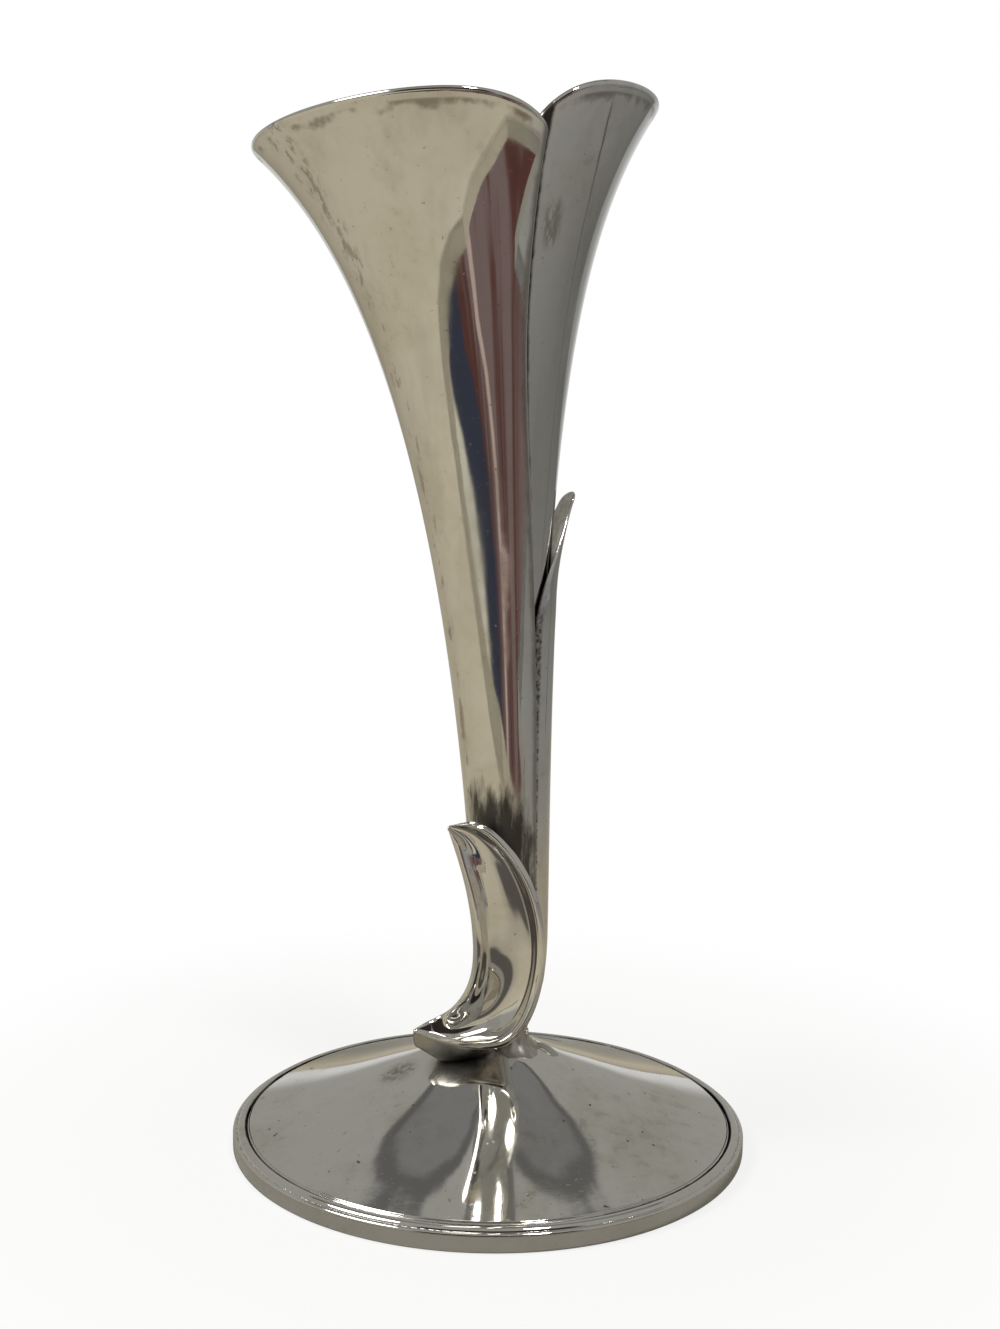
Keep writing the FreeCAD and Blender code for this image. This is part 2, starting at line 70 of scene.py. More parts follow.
# Room. A pale table in front of a white backdrop. The polished plate mirrors the rest of the room:
# warm light from the left, cool shade on the right, and dark clothes in front of the table.
class Wire:
    """A socket of a node tree. Sums written on it become Math nodes."""

    def __init__(self, tree, socket):
        self.tree = tree
        self.socket = socket

    def math(self, operation, *others):
        node = self.tree.nodes.new("ShaderNodeMath")
        node.operation = operation
        for socket, value in zip(node.inputs, (self,) + others):
            plug(self.tree, socket, value)
        return Wire(self.tree, node.outputs[0])

    def __add__(self, other):
        return self.math("ADD", other)

    def __sub__(self, other):
        return self.math("SUBTRACT", other)

    def __mul__(self, other):
        return self.math("MULTIPLY", other)

    def __truediv__(self, other):
        return self.math("DIVIDE", other)

    def __rsub__(self, other):
        return self.math("MULTIPLY", -1.0).math("ADD", other)

    __radd__ = __add__
    __rmul__ = __mul__

    def __abs__(self):
        return self.math("ABSOLUTE")

    def most(self, other):
        """The larger of the two."""
        return self.math("MAXIMUM", other)

    def past(self, start):
        """How far it lies above a start, and 0 below it."""
        return (self - start).most(0.0)


def plug(tree, socket, value):
    """Links a wire to a socket, or sets the socket to a plain value."""
    if isinstance(value, Wire):
        tree.links.new(value.socket, socket)
    else:
        socket.default_value = value


class Sheet:
    """A node tree that grows by one call for each node."""

    def __init__(self, tree):
        self.tree = tree
        tree.nodes.clear()

    def make(self, kind, settings=None, output=0, **sockets):
        """A node of a kind: its settings are set first, then its sockets, by name or as i and a number."""
        node = self.tree.nodes.new("ShaderNode" + kind)
        for name, value in (settings or {}).items():
            setattr(node, name, value)
        for name, value in sockets.items():
            key = int(name[1:]) if name[0] == "i" and name[1:].isdigit() else name.replace("_", " ")
            plug(self.tree, node.inputs[key], value)
        return None if output is None else Wire(self.tree, node.outputs[output])

    def blend(self, share, first, second):
        """A mix of two colours by a share."""
        return self.make("Mix", {"data_type": "RGBA"}, 2, i0=share, i6=first, i7=second)

    def step(self, value, low, high):
        """A smooth step from 0 at low to 1 at high."""
        return self.make("MapRange", {"interpolation_type": "SMOOTHSTEP"},
                         Value=value, **{"From_Min": low, "From_Max": high})

    def axis(self, place, name):
        """One of a place's three coordinates."""
        return self.make("SeparateXYZ", None, name, Vector=place)

    def noise(self, place, scale, detail=3.0, rough=0.5, stretch=None):
        """Soft noise about a half, finer as the scale grows; stretch scales each axis first."""
        if stretch:
            place = self.make("VectorMath", {"operation": "MULTIPLY"}, i0=place, i1=stretch)
        return self.make("TexNoise", None, 0, Vector=place, Scale=scale, Detail=detail, Roughness=rough)


CAMERA_WHITE = (1.0, 1.0, 1.0, 1.0)
TABLE_HALF_WIDTH = 0.9
TABLE_BACK = 0.9
# The table's front edge, in metres from the middle of the foot. Past it the metal mirrors the room.
TABLE_FRONT = [(-0.9, -0.262), (0.005, -0.262), (0.05, -0.222), (0.098, -0.182), (0.122, -0.15),
               (0.175, -0.138), (0.235, -0.12), (0.25, -0.2), (0.262, -0.262), (0.9, -0.262)]
TABLE_LIP = 0.018
TABLE_COLOUR = (0.80, 0.80, 0.79, 1.0)
MIRRORED_LIT_LEFT = (0.58, 0.535, 0.435, 1.0)
MIRRORED_SHADE_RIGHT = (0.37, 0.37, 0.365, 1.0)
MIRRORED_NEAR = (0.33, 0.32, 0.29, 1.0)
MIRRORED_DISH = (0.12, 0.11, 0.105, 1.0)
TABLE_JOINT = (0.12, 0.12, 0.12, 1.0)
NEAR_WHITE_SHARE = 0.80
JOINT_WAY = (0.845, 0.535)
JOINT_OFF = 0.09
# Where a soft step begins and where it is full, in metres.
MIRRORED_TURN = (0.10, 0.30)
NEAR_RING = (0.055, 0.12)
DISH_INNER = (0.052, 0.056)
DISH_OUTER = (0.078, 0.088)
DISH_FRONT = (-0.045, -0.03)
JOINT_EDGE = (0.002, 0.007)
JOINT_START = (0.33, 0.38)
FADE = (0.05, 0.13)

SKY_LEFT = (0.64, 0.615, 0.50, 1.0)
SKY_LEFT_REAR = (0.50, 0.495, 0.46, 1.0)
SKY_RIGHT = (0.325, 0.326, 0.325, 1.0)
SKY_REAR = (0.78, 0.78, 0.77, 1.0)
SKY_TOP = (0.385, 0.38, 0.35, 1.0)
SKY_CROWN = (0.225, 0.222, 0.22, 1.0)
CEILING_EDGE = (0.12, 0.118, 0.115, 1.0)
CLOTH_DARK = (0.035, 0.028, 0.028, 1.0)
CLOTH_NAVY = (0.043, 0.048, 0.072, 1.0)
CLOTH_BROWN = (0.105, 0.045, 0.038, 1.0)
CLOTH_MAUVE = (0.200, 0.145, 0.138, 1.0)
SEAM_LIGHT = (0.52, 0.40, 0.35, 1.0)
# Edges of the clothes: a bearing, the rise from which the edge slants, and the slant's slope.
NAVY_EDGE = (-34.0, -19.0, 3.1)
BROWN_EDGE = (-12.0, -20.0, 2.2)
LINE_EDGE = (5.0, -20.0, 1.35)
# A second slant: how far down, or how high, it starts, and its slope.
NAVY_LOW = (23.0, 3.4)
LINE_HIGH = (-11.0, 9.0)
# Where a soft step begins and where it is full, in degrees of bearing or of rise.
MAUVE_RIGHT = (42.0, 60.0)
MAUVE_UP = (-26.0, -20.0)
CLOTHES_END = (62.0, 80.0)
RIGHT_REAR = (140.0, 176.0)
LEFT_BACK = (95.0, 130.0)
LEFT_REAR = (145.0, 178.0)
WALL_TOP = (2.0, 8.0)
PERSON_LEFT = (-34.0, -28.0)
PERSON_RIGHT = (38.0, 46.0)
PERSON_TOP = (38.0, 44.0)
CEILING_BACK = (95.0, 115.0)
CEILING_RISE = 49.0
REAR_BEARING = 150.0

world = bpy.data.worlds.new("room")
bpy.context.scene.world = world
world.use_nodes = True
room = Sheet(world.node_tree)
sight = room.make("TexCoord", None, "Generated")
east, north, height = [room.axis(sight, name) for name in "XYZ"]
ripple = room.noise(sight, 2.2, 2.0, 0.5)
bearing = east.math("ARCTAN2", north * -1.0) * (180.0 / math.pi) + (ripple - 0.5) * 5.0
rise = height.math("ARCSINE") * (180.0 / math.pi)

# The clothes: the dark part begins at a slanting left edge, turns from navy to brown, is crossed by
# the light line of a seam, and ends in mauve folds on the right.
dark_left, brown_left, line_at = [start + rise.past(low) * slope
                                  for start, low, slope in (NAVY_EDGE, BROWN_EDGE, LINE_EDGE)]
dark_left = dark_left + (rise * -1.0).past(NAVY_LOW[0]) * NAVY_LOW[1]
line_at = line_at + rise.past(LINE_HIGH[0]) * LINE_HIGH[1]
folds = room.noise(room.make("CombineXYZ", None, 0, X=bearing * 0.085, Y=rise * 0.02, Z=0.37), 1.0, 3.0, 0.55)
cloth = room.blend(room.step(folds, 0.47, 0.62), CLOTH_BROWN, CLOTH_MAUVE)
cloth = room.blend(room.step(bearing, *MAUVE_RIGHT) * room.step(rise, *MAUVE_UP), cloth, CLOTH_MAUVE)
cloth = room.blend(room.step(bearing - brown_left, -2.0, 2.0), CLOTH_NAVY, cloth)
cloth = room.blend(1.0 - room.step(abs(bearing - line_at), 1.2, 2.6), cloth, SEAM_LIGHT)
shade = room.blend(room.step(bearing, *CLOTHES_END), cloth, SKY_RIGHT)
shade = room.blend(room.step(bearing, *RIGHT_REAR), shade, SKY_REAR)
left = room.blend(room.step(bearing * -1.0, *LEFT_BACK), SKY_LEFT, SKY_LEFT_REAR)
left = room.blend(room.step(bearing * -1.0, *LEFT_REAR), left, SKY_REAR)
wall = room.blend(room.step(bearing - dark_left, -3.0, 2.0), left, shade)
person = room.step(bearing, *PERSON_LEFT) * (1.0 - room.step(bearing, *PERSON_RIGHT))
person = person * (1.0 - room.step(rise, *PERSON_TOP))
wall = room.blend(room.step(rise, *WALL_TOP), wall, room.blend(person, SKY_TOP, CLOTH_DARK))

# Overhead: a darker ceiling with a sharp, dark edge.
ragged = (room.noise(sight, 9.0, 3.0, 0.6) - 0.5) * 5.0
over = rise - (CEILING_RISE + abs(bearing).past(REAR_BEARING) * 0.8 + ragged)
behind = room.step(abs(bearing), *CEILING_BACK)
wall = room.blend(room.step(over, -0.4, 0.4) * behind, wall, SKY_CROWN)
by_edge = 1.0 - room.step(abs(over - 1.3), 0.6, 2.2)
wall = room.blend(by_edge * behind * 0.85, wall, CEILING_EDGE)
camera_ray = room.make("LightPath", None, "Is Camera Ray")
seen = room.blend(camera_ray, wall, CAMERA_WHITE)
room.make("OutputWorld", None, None, Surface=room.make("Background", None, 0, Color=seen, Strength=1.0))

# The table is flat, with a low lip that stands along its front edge.
table_edge = [(x, y, 0.0) for x, y in TABLE_FRONT]
table_edge += [(TABLE_HALF_WIDTH, TABLE_BACK, 0.0), (-TABLE_HALF_WIDTH, TABLE_BACK, 0.0)]
table_edge += [(x, y, TABLE_LIP) for x, y in TABLE_FRONT]
flat_count = len(TABLE_FRONT) + 2
lip_faces = [(i, i + 1, flat_count + i + 1, flat_count + i) for i in range(len(TABLE_FRONT) - 1)]
table_mesh = bpy.data.meshes.new("table")
table_mesh.from_pydata(table_edge, [], [tuple(range(flat_count))] + lip_faces)
table = bpy.data.objects.new("table", table_mesh)
bpy.context.collection.objects.link(table)
cover = bpy.data.materials.new("table_cover")
cover.use_nodes = True
paper = Sheet(cover.node_tree)
spot = paper.make("TexCoord", None, "Object")
away = paper.make("VectorMath", {"operation": "LENGTH"}, 1, i0=spot)
sight_ray = paper.make("LightPath", None, "Is Camera Ray")
mirror_ray = paper.make("LightPath", None, "Is Glossy Ray")
spot_east, spot_north = paper.axis(spot, "X"), paper.axis(spot, "Y")
# To the metal the table shows painted warm light on its left and painted shade on its right.
mirrored = paper.blend(paper.step(spot_east, *MIRRORED_TURN), MIRRORED_LIT_LEFT, MIRRORED_SHADE_RIGHT)

# Only the metal sees these: a dark joint far to the right, a shaded ring round the foot, and a dark
# band in front of it.
wander = paper.noise(spot, 3.0) * 0.05 - 0.025
off_joint = abs(spot_north * JOINT_WAY[0] - spot_east * JOINT_WAY[1] + JOINT_OFF + wander)
joint = (1.0 - paper.step(off_joint, *JOINT_EDGE)) * paper.step(spot_east, *JOINT_START)
mirrored = paper.blend(joint, mirrored, TABLE_JOINT)
mirrored = paper.blend(paper.step(away, *NEAR_RING), MIRRORED_NEAR, mirrored)
dish_band = paper.step(away, *DISH_INNER) * (1.0 - paper.step(away, *DISH_OUTER))
in_front = 1.0 - paper.step(spot_north, *DISH_FRONT)
mirrored = paper.blend(dish_band * in_front, mirrored, MIRRORED_DISH)
lit = paper.make("BsdfDiffuse", None, 0, Color=paper.blend(mirror_ray, TABLE_COLOUR, mirrored))
white = paper.make("Emission", None, 0, Color=CAMERA_WHITE, Strength=1.0)
fade = sight_ray * (NEAR_WHITE_SHARE + (1.0 - NEAR_WHITE_SHARE) * paper.step(away, *FADE))
paper.make("OutputMaterial", None, None, Surface=paper.make("MixShader", None, 0, i0=fade, i1=lit, i2=white))
table_mesh.materials.append(cover)

# Two soft lamps: a large one high on the left, and a small bright one over the right shoulder.
LAMPS = {
    "window": ((-0.75, -0.25, 0.95), 0.55, 7.5, (1.0, 0.97, 0.92)),
    "ceiling_lamp": ((0.30, -0.45, 1.05), 0.16, 3.6, (1.0, 0.98, 0.95)),
}
LAMP_AIM = (0.0, 0.0, 0.08)


def unit(way):
    """The same direction with a length of 1."""
    return way / np.linalg.norm(way)


for name, (place, across, power, colour) in LAMPS.items():
    light = bpy.data.lights.new(name, "AREA")
    light.shape = "DISK"
    light.size = across
    light.energy = power
    light.color = colour
    lamp = bpy.data.objects.new(name, light)
    back = unit(np.array(place) - np.array(LAMP_AIM))
    side = unit(np.cross([0.0, 0.0, 1.0], back))
    lamp.matrix_world = Matrix.Translation(place) @ Matrix(
        np.column_stack([side, np.cross(back, side), back]).tolist()).to_4x4()
    bpy.context.collection.objects.link(lamp)


# Foot rim: a ring drawn from plated rod and soldered round the edge of the foot. An upright rounded
# band stands on the table, with a small bead above it and a groove where the ring meets the foot.
FOOT_RADIUS = 43.0 * MM
RING_WIDTH = 3.8 * MM
RING_HEIGHT = 3.2 * MM
RING_ROUND = 0.6 * MM
BEAD_WIDTH = 1.5 * MM
BEAD_STEP = 0.45 * MM
BEAD_RADIUS = 0.95 * MM
LEDGE_DEPTH = 0.8 * MM
TINY_ROUND = 0.12 * MM
GROOVE_RADIUS = FOOT_RADIUS - RING_ROUND - BEAD_WIDTH
LEDGE_HEIGHT = RING_HEIGHT + BEAD_STEP - LEDGE_DEPTH
GROOVE_WIDTH = 0.22 * MM
RING_STEPS = 900
WELD = 0.0005 * MM


def softened(corners, rounds, steps=6):
    """A closed outline with an arc in each corner: the arc's centre lies on the corner's bisector,
    radius / sin(half the corner's angle) away, and a point backs each arc a little along its runs.
    A corner with no radius stays one point, as those along a curve do."""
    spots = np.asarray(corners, dtype=float)
    rows = []
    for before, here, after, radius in zip(np.roll(spots, 1, 0), spots, np.roll(spots, -1, 0), rounds):
        if radius == 0.0:
            rows.append(here)
            continue
        to_before, to_after = unit(before - here), unit(after - here)
        half = math.acos(np.clip(to_before @ to_after, -1.0, 1.0)) / 2
        middle = unit(to_before + to_after)
        centre = here + middle * radius / math.sin(half)
        reach = radius / math.tan(half)
        share = np.linspace(-1.0, 1.0, steps + 1)[:, None] * (math.pi / 2 - half)
        across = unit(to_after - middle * (to_after @ middle))
        arc = centre - middle * radius * np.cos(share) + across * radius * np.sin(share)
        rows += [here + to_before * reach * 1.5, arc, here + to_after * reach * 1.5]
    return np.vstack(rows)


def turned(outline, steps):
    """A grid of points: the outline's radius and height carried round the upright axis."""
    turn = np.linspace(0.0, 2.0 * math.pi, steps + 1)[:, None]
    radius = outline[:, 0] + 0.0 * turn
    height = outline[:, 1] + 0.0 * turn
    return np.stack([radius * np.sin(turn), -radius * np.cos(turn), height], axis=-1)


def woven(name, grids, nodes, layers=None):
    """A closed mesh from grids of points. The cells of each grid are quads, points that meet are
    welded, and layers hold one number for each point, such as how dark the metal is there."""
    points, cells, start = [], [], 0
    for grid in grids:
        rows, columns = grid.shape[:2]
        index = start + np.arange(rows * columns).reshape(rows, columns)
        corners = [index[:-1, :-1], index[1:, :-1], index[1:, 1:], index[:-1, 1:]]
        cells.append(np.stack(corners, -1).reshape(-1, 4))
        points.append(grid.reshape(-1, 3))
        start += rows * columns
    mesh = bpy.data.meshes.new(name)
    mesh.from_pydata(np.vstack(points), [], np.vstack(cells))
    for layer, parts in (layers or {}).items():
        values = np.concatenate([np.ravel(part) for part in parts])
        mesh.attributes.new(layer, "FLOAT", "POINT").data.foreach_set("value", values.astype(np.float32))
    shell = bmesh.new()
    shell.from_mesh(mesh)
    bmesh.ops.remove_doubles(shell, verts=shell.verts, dist=WELD)
    bmesh.ops.recalc_face_normals(shell, faces=shell.faces)
    shell.to_mesh(mesh)
    shell.free()
    mesh.polygons.foreach_set("use_smooth", np.ones(len(mesh.polygons), dtype=bool))
    piece = bpy.data.objects.new(name, mesh)
    bpy.context.collection.objects.link(piece)
    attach(piece, "root")
    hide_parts(*nodes)
    return piece


BEAD_STEPS = 26
LAND_SHARE = 1.1
UPPER_ROUND_SHARE = 0.8
CREASE_SHARE = 0.25
bead_start = np.array([FOOT_RADIUS - RING_ROUND * LAND_SHARE, RING_HEIGHT])
bead_end = np.array([GROOVE_RADIUS, RING_HEIGHT + BEAD_STEP])
chord = bead_end - bead_start
half_chord = np.linalg.norm(chord) / 2
chord_way = unit(chord)
out = np.array([chord_way[1], -chord_way[0]])
bead_centre = (bead_start + bead_end) / 2 - out * math.sqrt(BEAD_RADIUS ** 2 - half_chord ** 2)
spread = math.asin(half_chord / BEAD_RADIUS)
swing = np.linspace(-spread, spread, BEAD_STEPS)[:, None]
bead = bead_centre + (out * np.cos(swing) + chord_way * np.sin(swing)) * BEAD_RADIUS
ring_corners = np.vstack([
    [[FOOT_RADIUS - RING_WIDTH, 0.0], [FOOT_RADIUS, 0.0], [FOOT_RADIUS, RING_HEIGHT]],
    bead,
    [[GROOVE_RADIUS, LEDGE_HEIGHT], [FOOT_RADIUS - RING_WIDTH, LEDGE_HEIGHT]],
])
crease_round = TINY_ROUND * CREASE_SHARE
ring_rounds = [TINY_ROUND, RING_ROUND, RING_ROUND * UPPER_ROUND_SHARE, crease_round]
ring_rounds += [0.0] * (BEAD_STEPS - 2) + [crease_round] + [TINY_ROUND] * 2
ring_outline = softened(ring_corners, ring_rounds)
ring_outline = np.vstack([ring_outline, ring_outline[:1]])
ring = woven("foot_rim", [turned(ring_outline, RING_STEPS)], ["foot_rim_ring"])

# The plate: clean silver, its thin cloud, brown tarnish, and black dirt where a cloth can't reach.
# The same brown and black also serve as painted shade.
CLEAN = (0.70, 0.69, 0.665, 1.0)
CLOUDED = (0.60, 0.58, 0.52, 1.0)
TARNISH_AND_SHADE = (0.16, 0.125, 0.095, 1.0)
BLACK = (0.022, 0.020, 0.018, 1.0)
POLISH = 0.016
HAZE = 0.024
DULL = 0.40
CLOUD_SCALE = 55.0
WAVE_SCALE = 130.0
FINE_SCALE = 420.0
HAIR_SCALE = 900.0
SPECK_SCALE = 1500.0
RELIEF = 0.35 * MM
DRAWN = (1.0, 1.0, 0.06)


def plated(piece, name, clouds, marks_and_shade=None, dirt_and_shade=None, dull=0.0):
    """Silver plate. Clouds is how much of it is tarnished; the mark functions take the sheet and give
    a share of brown, for tarnish and painted shade, and of black, for dirt and painted shade, over the
    surface."""
    material = bpy.data.materials.new(name)
    material.use_nodes = True
    sheet = Sheet(material.node_tree)
    place = sheet.make("TexCoord", None, "Object")
    cloud = sheet.noise(place, CLOUD_SCALE, 4.0, 0.6)
    fine = sheet.noise(place, FINE_SCALE, 4.0, 0.65)
    speck = sheet.noise(place, SPECK_SCALE, 2.0, 0.5)
    hair = sheet.noise(place, HAIR_SCALE, 2.0, 0.6, stretch=DRAWN)
    thin = sheet.step(cloud + fine * 0.35, 0.58, 0.86) * clouds
    colour = sheet.blend(thin, CLEAN, CLOUDED)
    brown = sheet.step(fine * cloud, 0.33, 0.42) * 0.22 * clouds
    if marks_and_shade:
        brown = brown.most(marks_and_shade(sheet, place, fine))
    colour = sheet.blend(brown, colour, TARNISH_AND_SHADE)
    rough = POLISH + dull + HAZE * cloud + 0.04 * thin + 0.25 * brown + 0.02 * hair
    if dirt_and_shade:
        black = dirt_and_shade(sheet, place, fine)
        colour = sheet.blend(black, colour, BLACK)
        rough = rough + black * DULL
    pits = sheet.step(speck, 0.70, 0.76)
    colour = sheet.blend(pits * 0.45, colour, TARNISH_AND_SHADE)
    wave = sheet.noise(place, WAVE_SCALE, 1.0, 0.4)
    relief = wave * 0.05 + hair * 0.0035 - pits * 0.010 + fine * (0.003 + dull * 0.06)
    relief = relief + brown * fine * 0.012
    if dirt_and_shade:
        relief = relief + black * fine * 0.04
    bump = sheet.make("Bump", None, 0, Height=relief, Strength=1.0, Distance=RELIEF)
    shader = sheet.make("BsdfPrincipled", None, 0,
                        Base_Color=colour, Metallic=1.0, Roughness=rough, Normal=bump)
    sheet.make("OutputMaterial", None, None, Surface=shader)
    piece.data.materials.clear()
    piece.data.materials.append(material)


def flat_radius(sheet, place):
    """Distance from the upright axis, in millimetres."""
    east, north = sheet.axis(place, "X") / MM, sheet.axis(place, "Y") / MM
    return (east * east + north * north).math("SQRT")


def groove_dirt(sheet, place, fine):
    """Black in the groove between the rim and the foot, broken up by noise."""
    off = abs(flat_radius(sheet, place) - (GROOVE_RADIUS - GROOVE_WIDTH / 2) / MM)
    broken = sheet.step(sheet.noise(place, 75.0, 3.0, 0.6), 0.38, 0.56)
    return (1.0 - sheet.step(off - fine * 0.22, 0.05, 0.22)) * (0.35 + 0.65 * broken)


plated(ring, "rim_plate", 0.6, dirt_and_shade=groove_dirt)


# Foot: a disc of sheet metal spun hollow over a former, with a small flat crown under the stem and
# a long, slightly hollow flank. It is plated and polished, with pits in the plate where it has worn.
DOME_HEIGHT = 17.9 * MM
DOME_WALL = 0.9 * MM
CROWN_RADIUS = 10.0 * MM
CROWN_FLAT = 1.5 * MM
CROWN_DROP = 2.2 * MM
FLANK_BEND = 260.0 * MM
FLANGE_WIDTH = 1.3 * MM
DOME_EDGE = GROOVE_RADIUS - GROOVE_WIDTH
DOME_STEPS = 360


def spline(places, values, wanted):
    """Smooth curve through values at rising places: cubic pieces whose bends agree where they meet,
    with no bend at the two ends. Values may be rows of coordinates."""
    places, values = np.asarray(places, float), np.asarray(values, float)
    gap = np.diff(places)
    count = len(places)
    system = np.eye(count)
    rest = np.zeros_like(values)
    inner = np.arange(1, count - 1)
    system[inner, inner - 1] = gap[:-1]
    system[inner, inner] = 2.0 * (gap[:-1] + gap[1:])
    system[inner, inner + 1] = gap[1:]
    rise_rate = (np.diff(values, axis=0).T / gap).T
    rest[1:-1] = 6.0 * np.diff(rise_rate, axis=0)
    bend = np.linalg.solve(system, rest)
    wanted = np.asarray(wanted, float)
    cell = np.clip(np.searchsorted(places, wanted, "right") - 1, 0, count - 2)
    low, high = (places[cell + 1] - wanted) / gap[cell], (wanted - places[cell]) / gap[cell]
    low, high, span = [part.reshape(part.shape + (1,) * (values.ndim - 1)) for part in (low, high, gap[cell])]
    return (low * values[cell] + high * values[cell + 1]
            + ((low ** 3 - low) * bend[cell] + (high ** 3 - high) * bend[cell + 1]) * span ** 2 / 6.0)


def flank_height(radius):
    """Height of the foot's upper face: a crown arc, then a large hollow arc out to the edge."""
    crown_span = CROWN_RADIUS - CROWN_FLAT
    crown_bend = (crown_span ** 2 + CROWN_DROP ** 2) / (2 * CROWN_DROP)
    inward = np.clip(radius - CROWN_FLAT, 0.0, crown_span)
    crown = DOME_HEIGHT - crown_bend + np.sqrt(crown_bend ** 2 - inward ** 2)
    start = np.array([CROWN_RADIUS, DOME_HEIGHT - CROWN_DROP])
    end = np.array([DOME_EDGE, LEDGE_HEIGHT + DOME_WALL])
    run = end - start
    half = np.linalg.norm(run) / 2
    square = np.array([-run[1], run[0]]) / np.linalg.norm(run)
    centre = (start + end) / 2 + square * math.sqrt(FLANK_BEND ** 2 - half ** 2)
    flank = centre[1] - np.sqrt(FLANK_BEND ** 2 - np.clip(radius - centre[0], -FLANK_BEND, FLANK_BEND) ** 2)
    return np.where(radius < CROWN_RADIUS, crown, flank)


KNOT_RADII = np.array([0.0, 2.0, 5.0, 8.0, 13.0, 19.0, 26.0, 33.0, 40.5]) * MM


def foot_height(radius):
    """The same face with the bend between its two arcs eased, as polishing leaves it."""
    return spline(KNOT_RADII, flank_height(KNOT_RADII), np.minimum(np.abs(radius), DOME_EDGE))


DOME_RINGS = 130
outward = np.linspace(0.0, DOME_EDGE, DOME_RINGS)
turn_down = np.linspace(0.0, math.pi, 7)[1:-1]
edge_round = DOME_WALL / 2
edge = np.stack([DOME_EDGE - edge_round * (1.0 - np.sin(turn_down)),
                 LEDGE_HEIGHT + edge_round + edge_round * np.cos(turn_down)], -1)
upper = np.stack([outward, foot_height(outward)], -1)
upper[-1, 0] = DOME_EDGE - edge_round
seat = np.array([[DOME_EDGE - edge_round, LEDGE_HEIGHT], [DOME_EDGE - FLANGE_WIDTH, LEDGE_HEIGHT]])
inward = outward[::-1][4:]
under = np.stack([inward, foot_height(inward) - DOME_WALL], -1)
dome = woven("foot", [turned(np.vstack([upper, edge, seat, under]), DOME_STEPS)], ["foot_dome"])

SPATTER_PLACE = (-15.5 * MM, -4.0 * MM, 14.0 * MM)
# The painted shade and grime under the short leaf's heel: its centre, and where it is full and ends, in
# millimetres.
GRIME_AND_SHADE_PLACE = (-5.0 * MM, -7.0 * MM, 15.5 * MM)
GRIME_AND_SHADE_FULL = 2.8
GRIME_AND_SHADE_END = 8.0


def distance(sheet, place, spot):
    """Distance from a spot, in millimetres."""
    return sheet.make("VectorMath", {"operation": "DISTANCE"}, 1, i0=place, i1=spot) / MM


def grime_and_shade(sheet, place, fine):
    """Painted shade with grime, black in the corner under the short leaf's heel, fading over the metal
    round it.
    """
    return 1.0 - sheet.step(distance(sheet, place, GRIME_AND_SHADE_PLACE) + fine * 2.5, GRIME_AND_SHADE_FULL, GRIME_AND_SHADE_END)


def foot_dirt_and_shade(sheet, place, fine):
    """The groove, small pits scattered over the flank, and the painted shade and grime in the corner."""
    pit = sheet.step(sheet.noise(place, 620.0, 2.0, 0.5), 0.69, 0.74)
    area = sheet.step(sheet.noise(place, 60.0, 2.0, 0.5), 0.40, 0.58)
    small = groove_dirt(sheet, place, fine).most(pit * area * 0.75)
    return small.most(grime_and_shade(sheet, place, fine) * 0.8)


def foot_marks(sheet, place, fine):
    """The scorched, rough patch of solder spatter beside the short leaf's heel."""
    gap = distance(sheet, place, SPATTER_PLACE)
    grain = sheet.noise(place, 950.0, 3.0, 0.7)
    return (1.0 - sheet.step(gap + fine * 3.0, 3.0, 6.2)) * (0.25 + 0.5 * sheet.step(grain, 0.42, 0.60))


plated(dome, "foot_plate", 0.8, marks_and_shade=foot_marks, dirt_and_shade=foot_dirt_and_shade)


# Flower: one heavy sheet rolled into a trumpet and spread at its mouth. Its left edge laps over its
# right edge all the way down, and the two upper corners are rounded, so that they meet in a notch.
STEM_RADIUS = 5.2 * MM
STEM_OFFSET = 4.7 * MM
STEM_SET_BACK = 2.5 * MM
STEM_TILT = math.radians(1.8)
LEAN = math.radians(-135.0)
BEND_RADIUS = 1042.0 * MM
TRUMPET_LENGTH = 149.5 * MM
MOUTH_RADIUS = 32.6 * MM
LIP_SPREAD = 3.15 * MM
LIP_POWER = 14
FLARE_RATE = 3.277
WALL = 1.2 * MM
TAIL_LENGTH = 18.0 * MM
TAIL_SHARE = 0.55
TUBE_START = 8.0 * MM
LAP_WIDTH = 3.5 * MM
LAP_GAP = 0.1 * MM
JOGGLE = 70.0
SEAM_AT_MOUTH = 30.0
SEAM_AT_STEM = 55.0
SEAM_TURN_LOW = 42.0 * MM
SEAM_TURN_HIGH = 122.0 * MM
NOTCH_OUTER = 6.2 * MM
NOTCH_INNER = 9.0 * MM
CORNER_OUTER = 8.3 * MM
CORNER_INNER = 5.2 * MM
MEAN_RADIUS = 14.0 * MM
CROWD_SHARE = 0.75
ROW_POWER = 1.35
ACROSS_STEPS = 250
ALONG_STEPS = 150
EDGE_STEPS = 6


def eased(share):
    """A smooth step: 3 s^2 - 2 s^3 between 0 and 1."""
    share = np.clip(share, 0.0, 1.0)
    return share * share * (3.0 - 2.0 * share)


def stem_centre(along):
    """Centre of the stem: an arc that starts on the crown with a small tilt and leans on, as one
    row of coordinates for each length along it."""
    tilt = STEM_TILT + along / BEND_RADIUS
    aside = (math.cos(STEM_TILT) - np.cos(tilt)) * BEND_RADIUS - STEM_OFFSET
    height = (np.sin(tilt) - math.sin(STEM_TILT)) * BEND_RADIUS + DOME_HEIGHT
    return np.stack([math.sin(LEAN) * aside, -math.cos(LEAN) * aside + STEM_SET_BACK, height], -1)


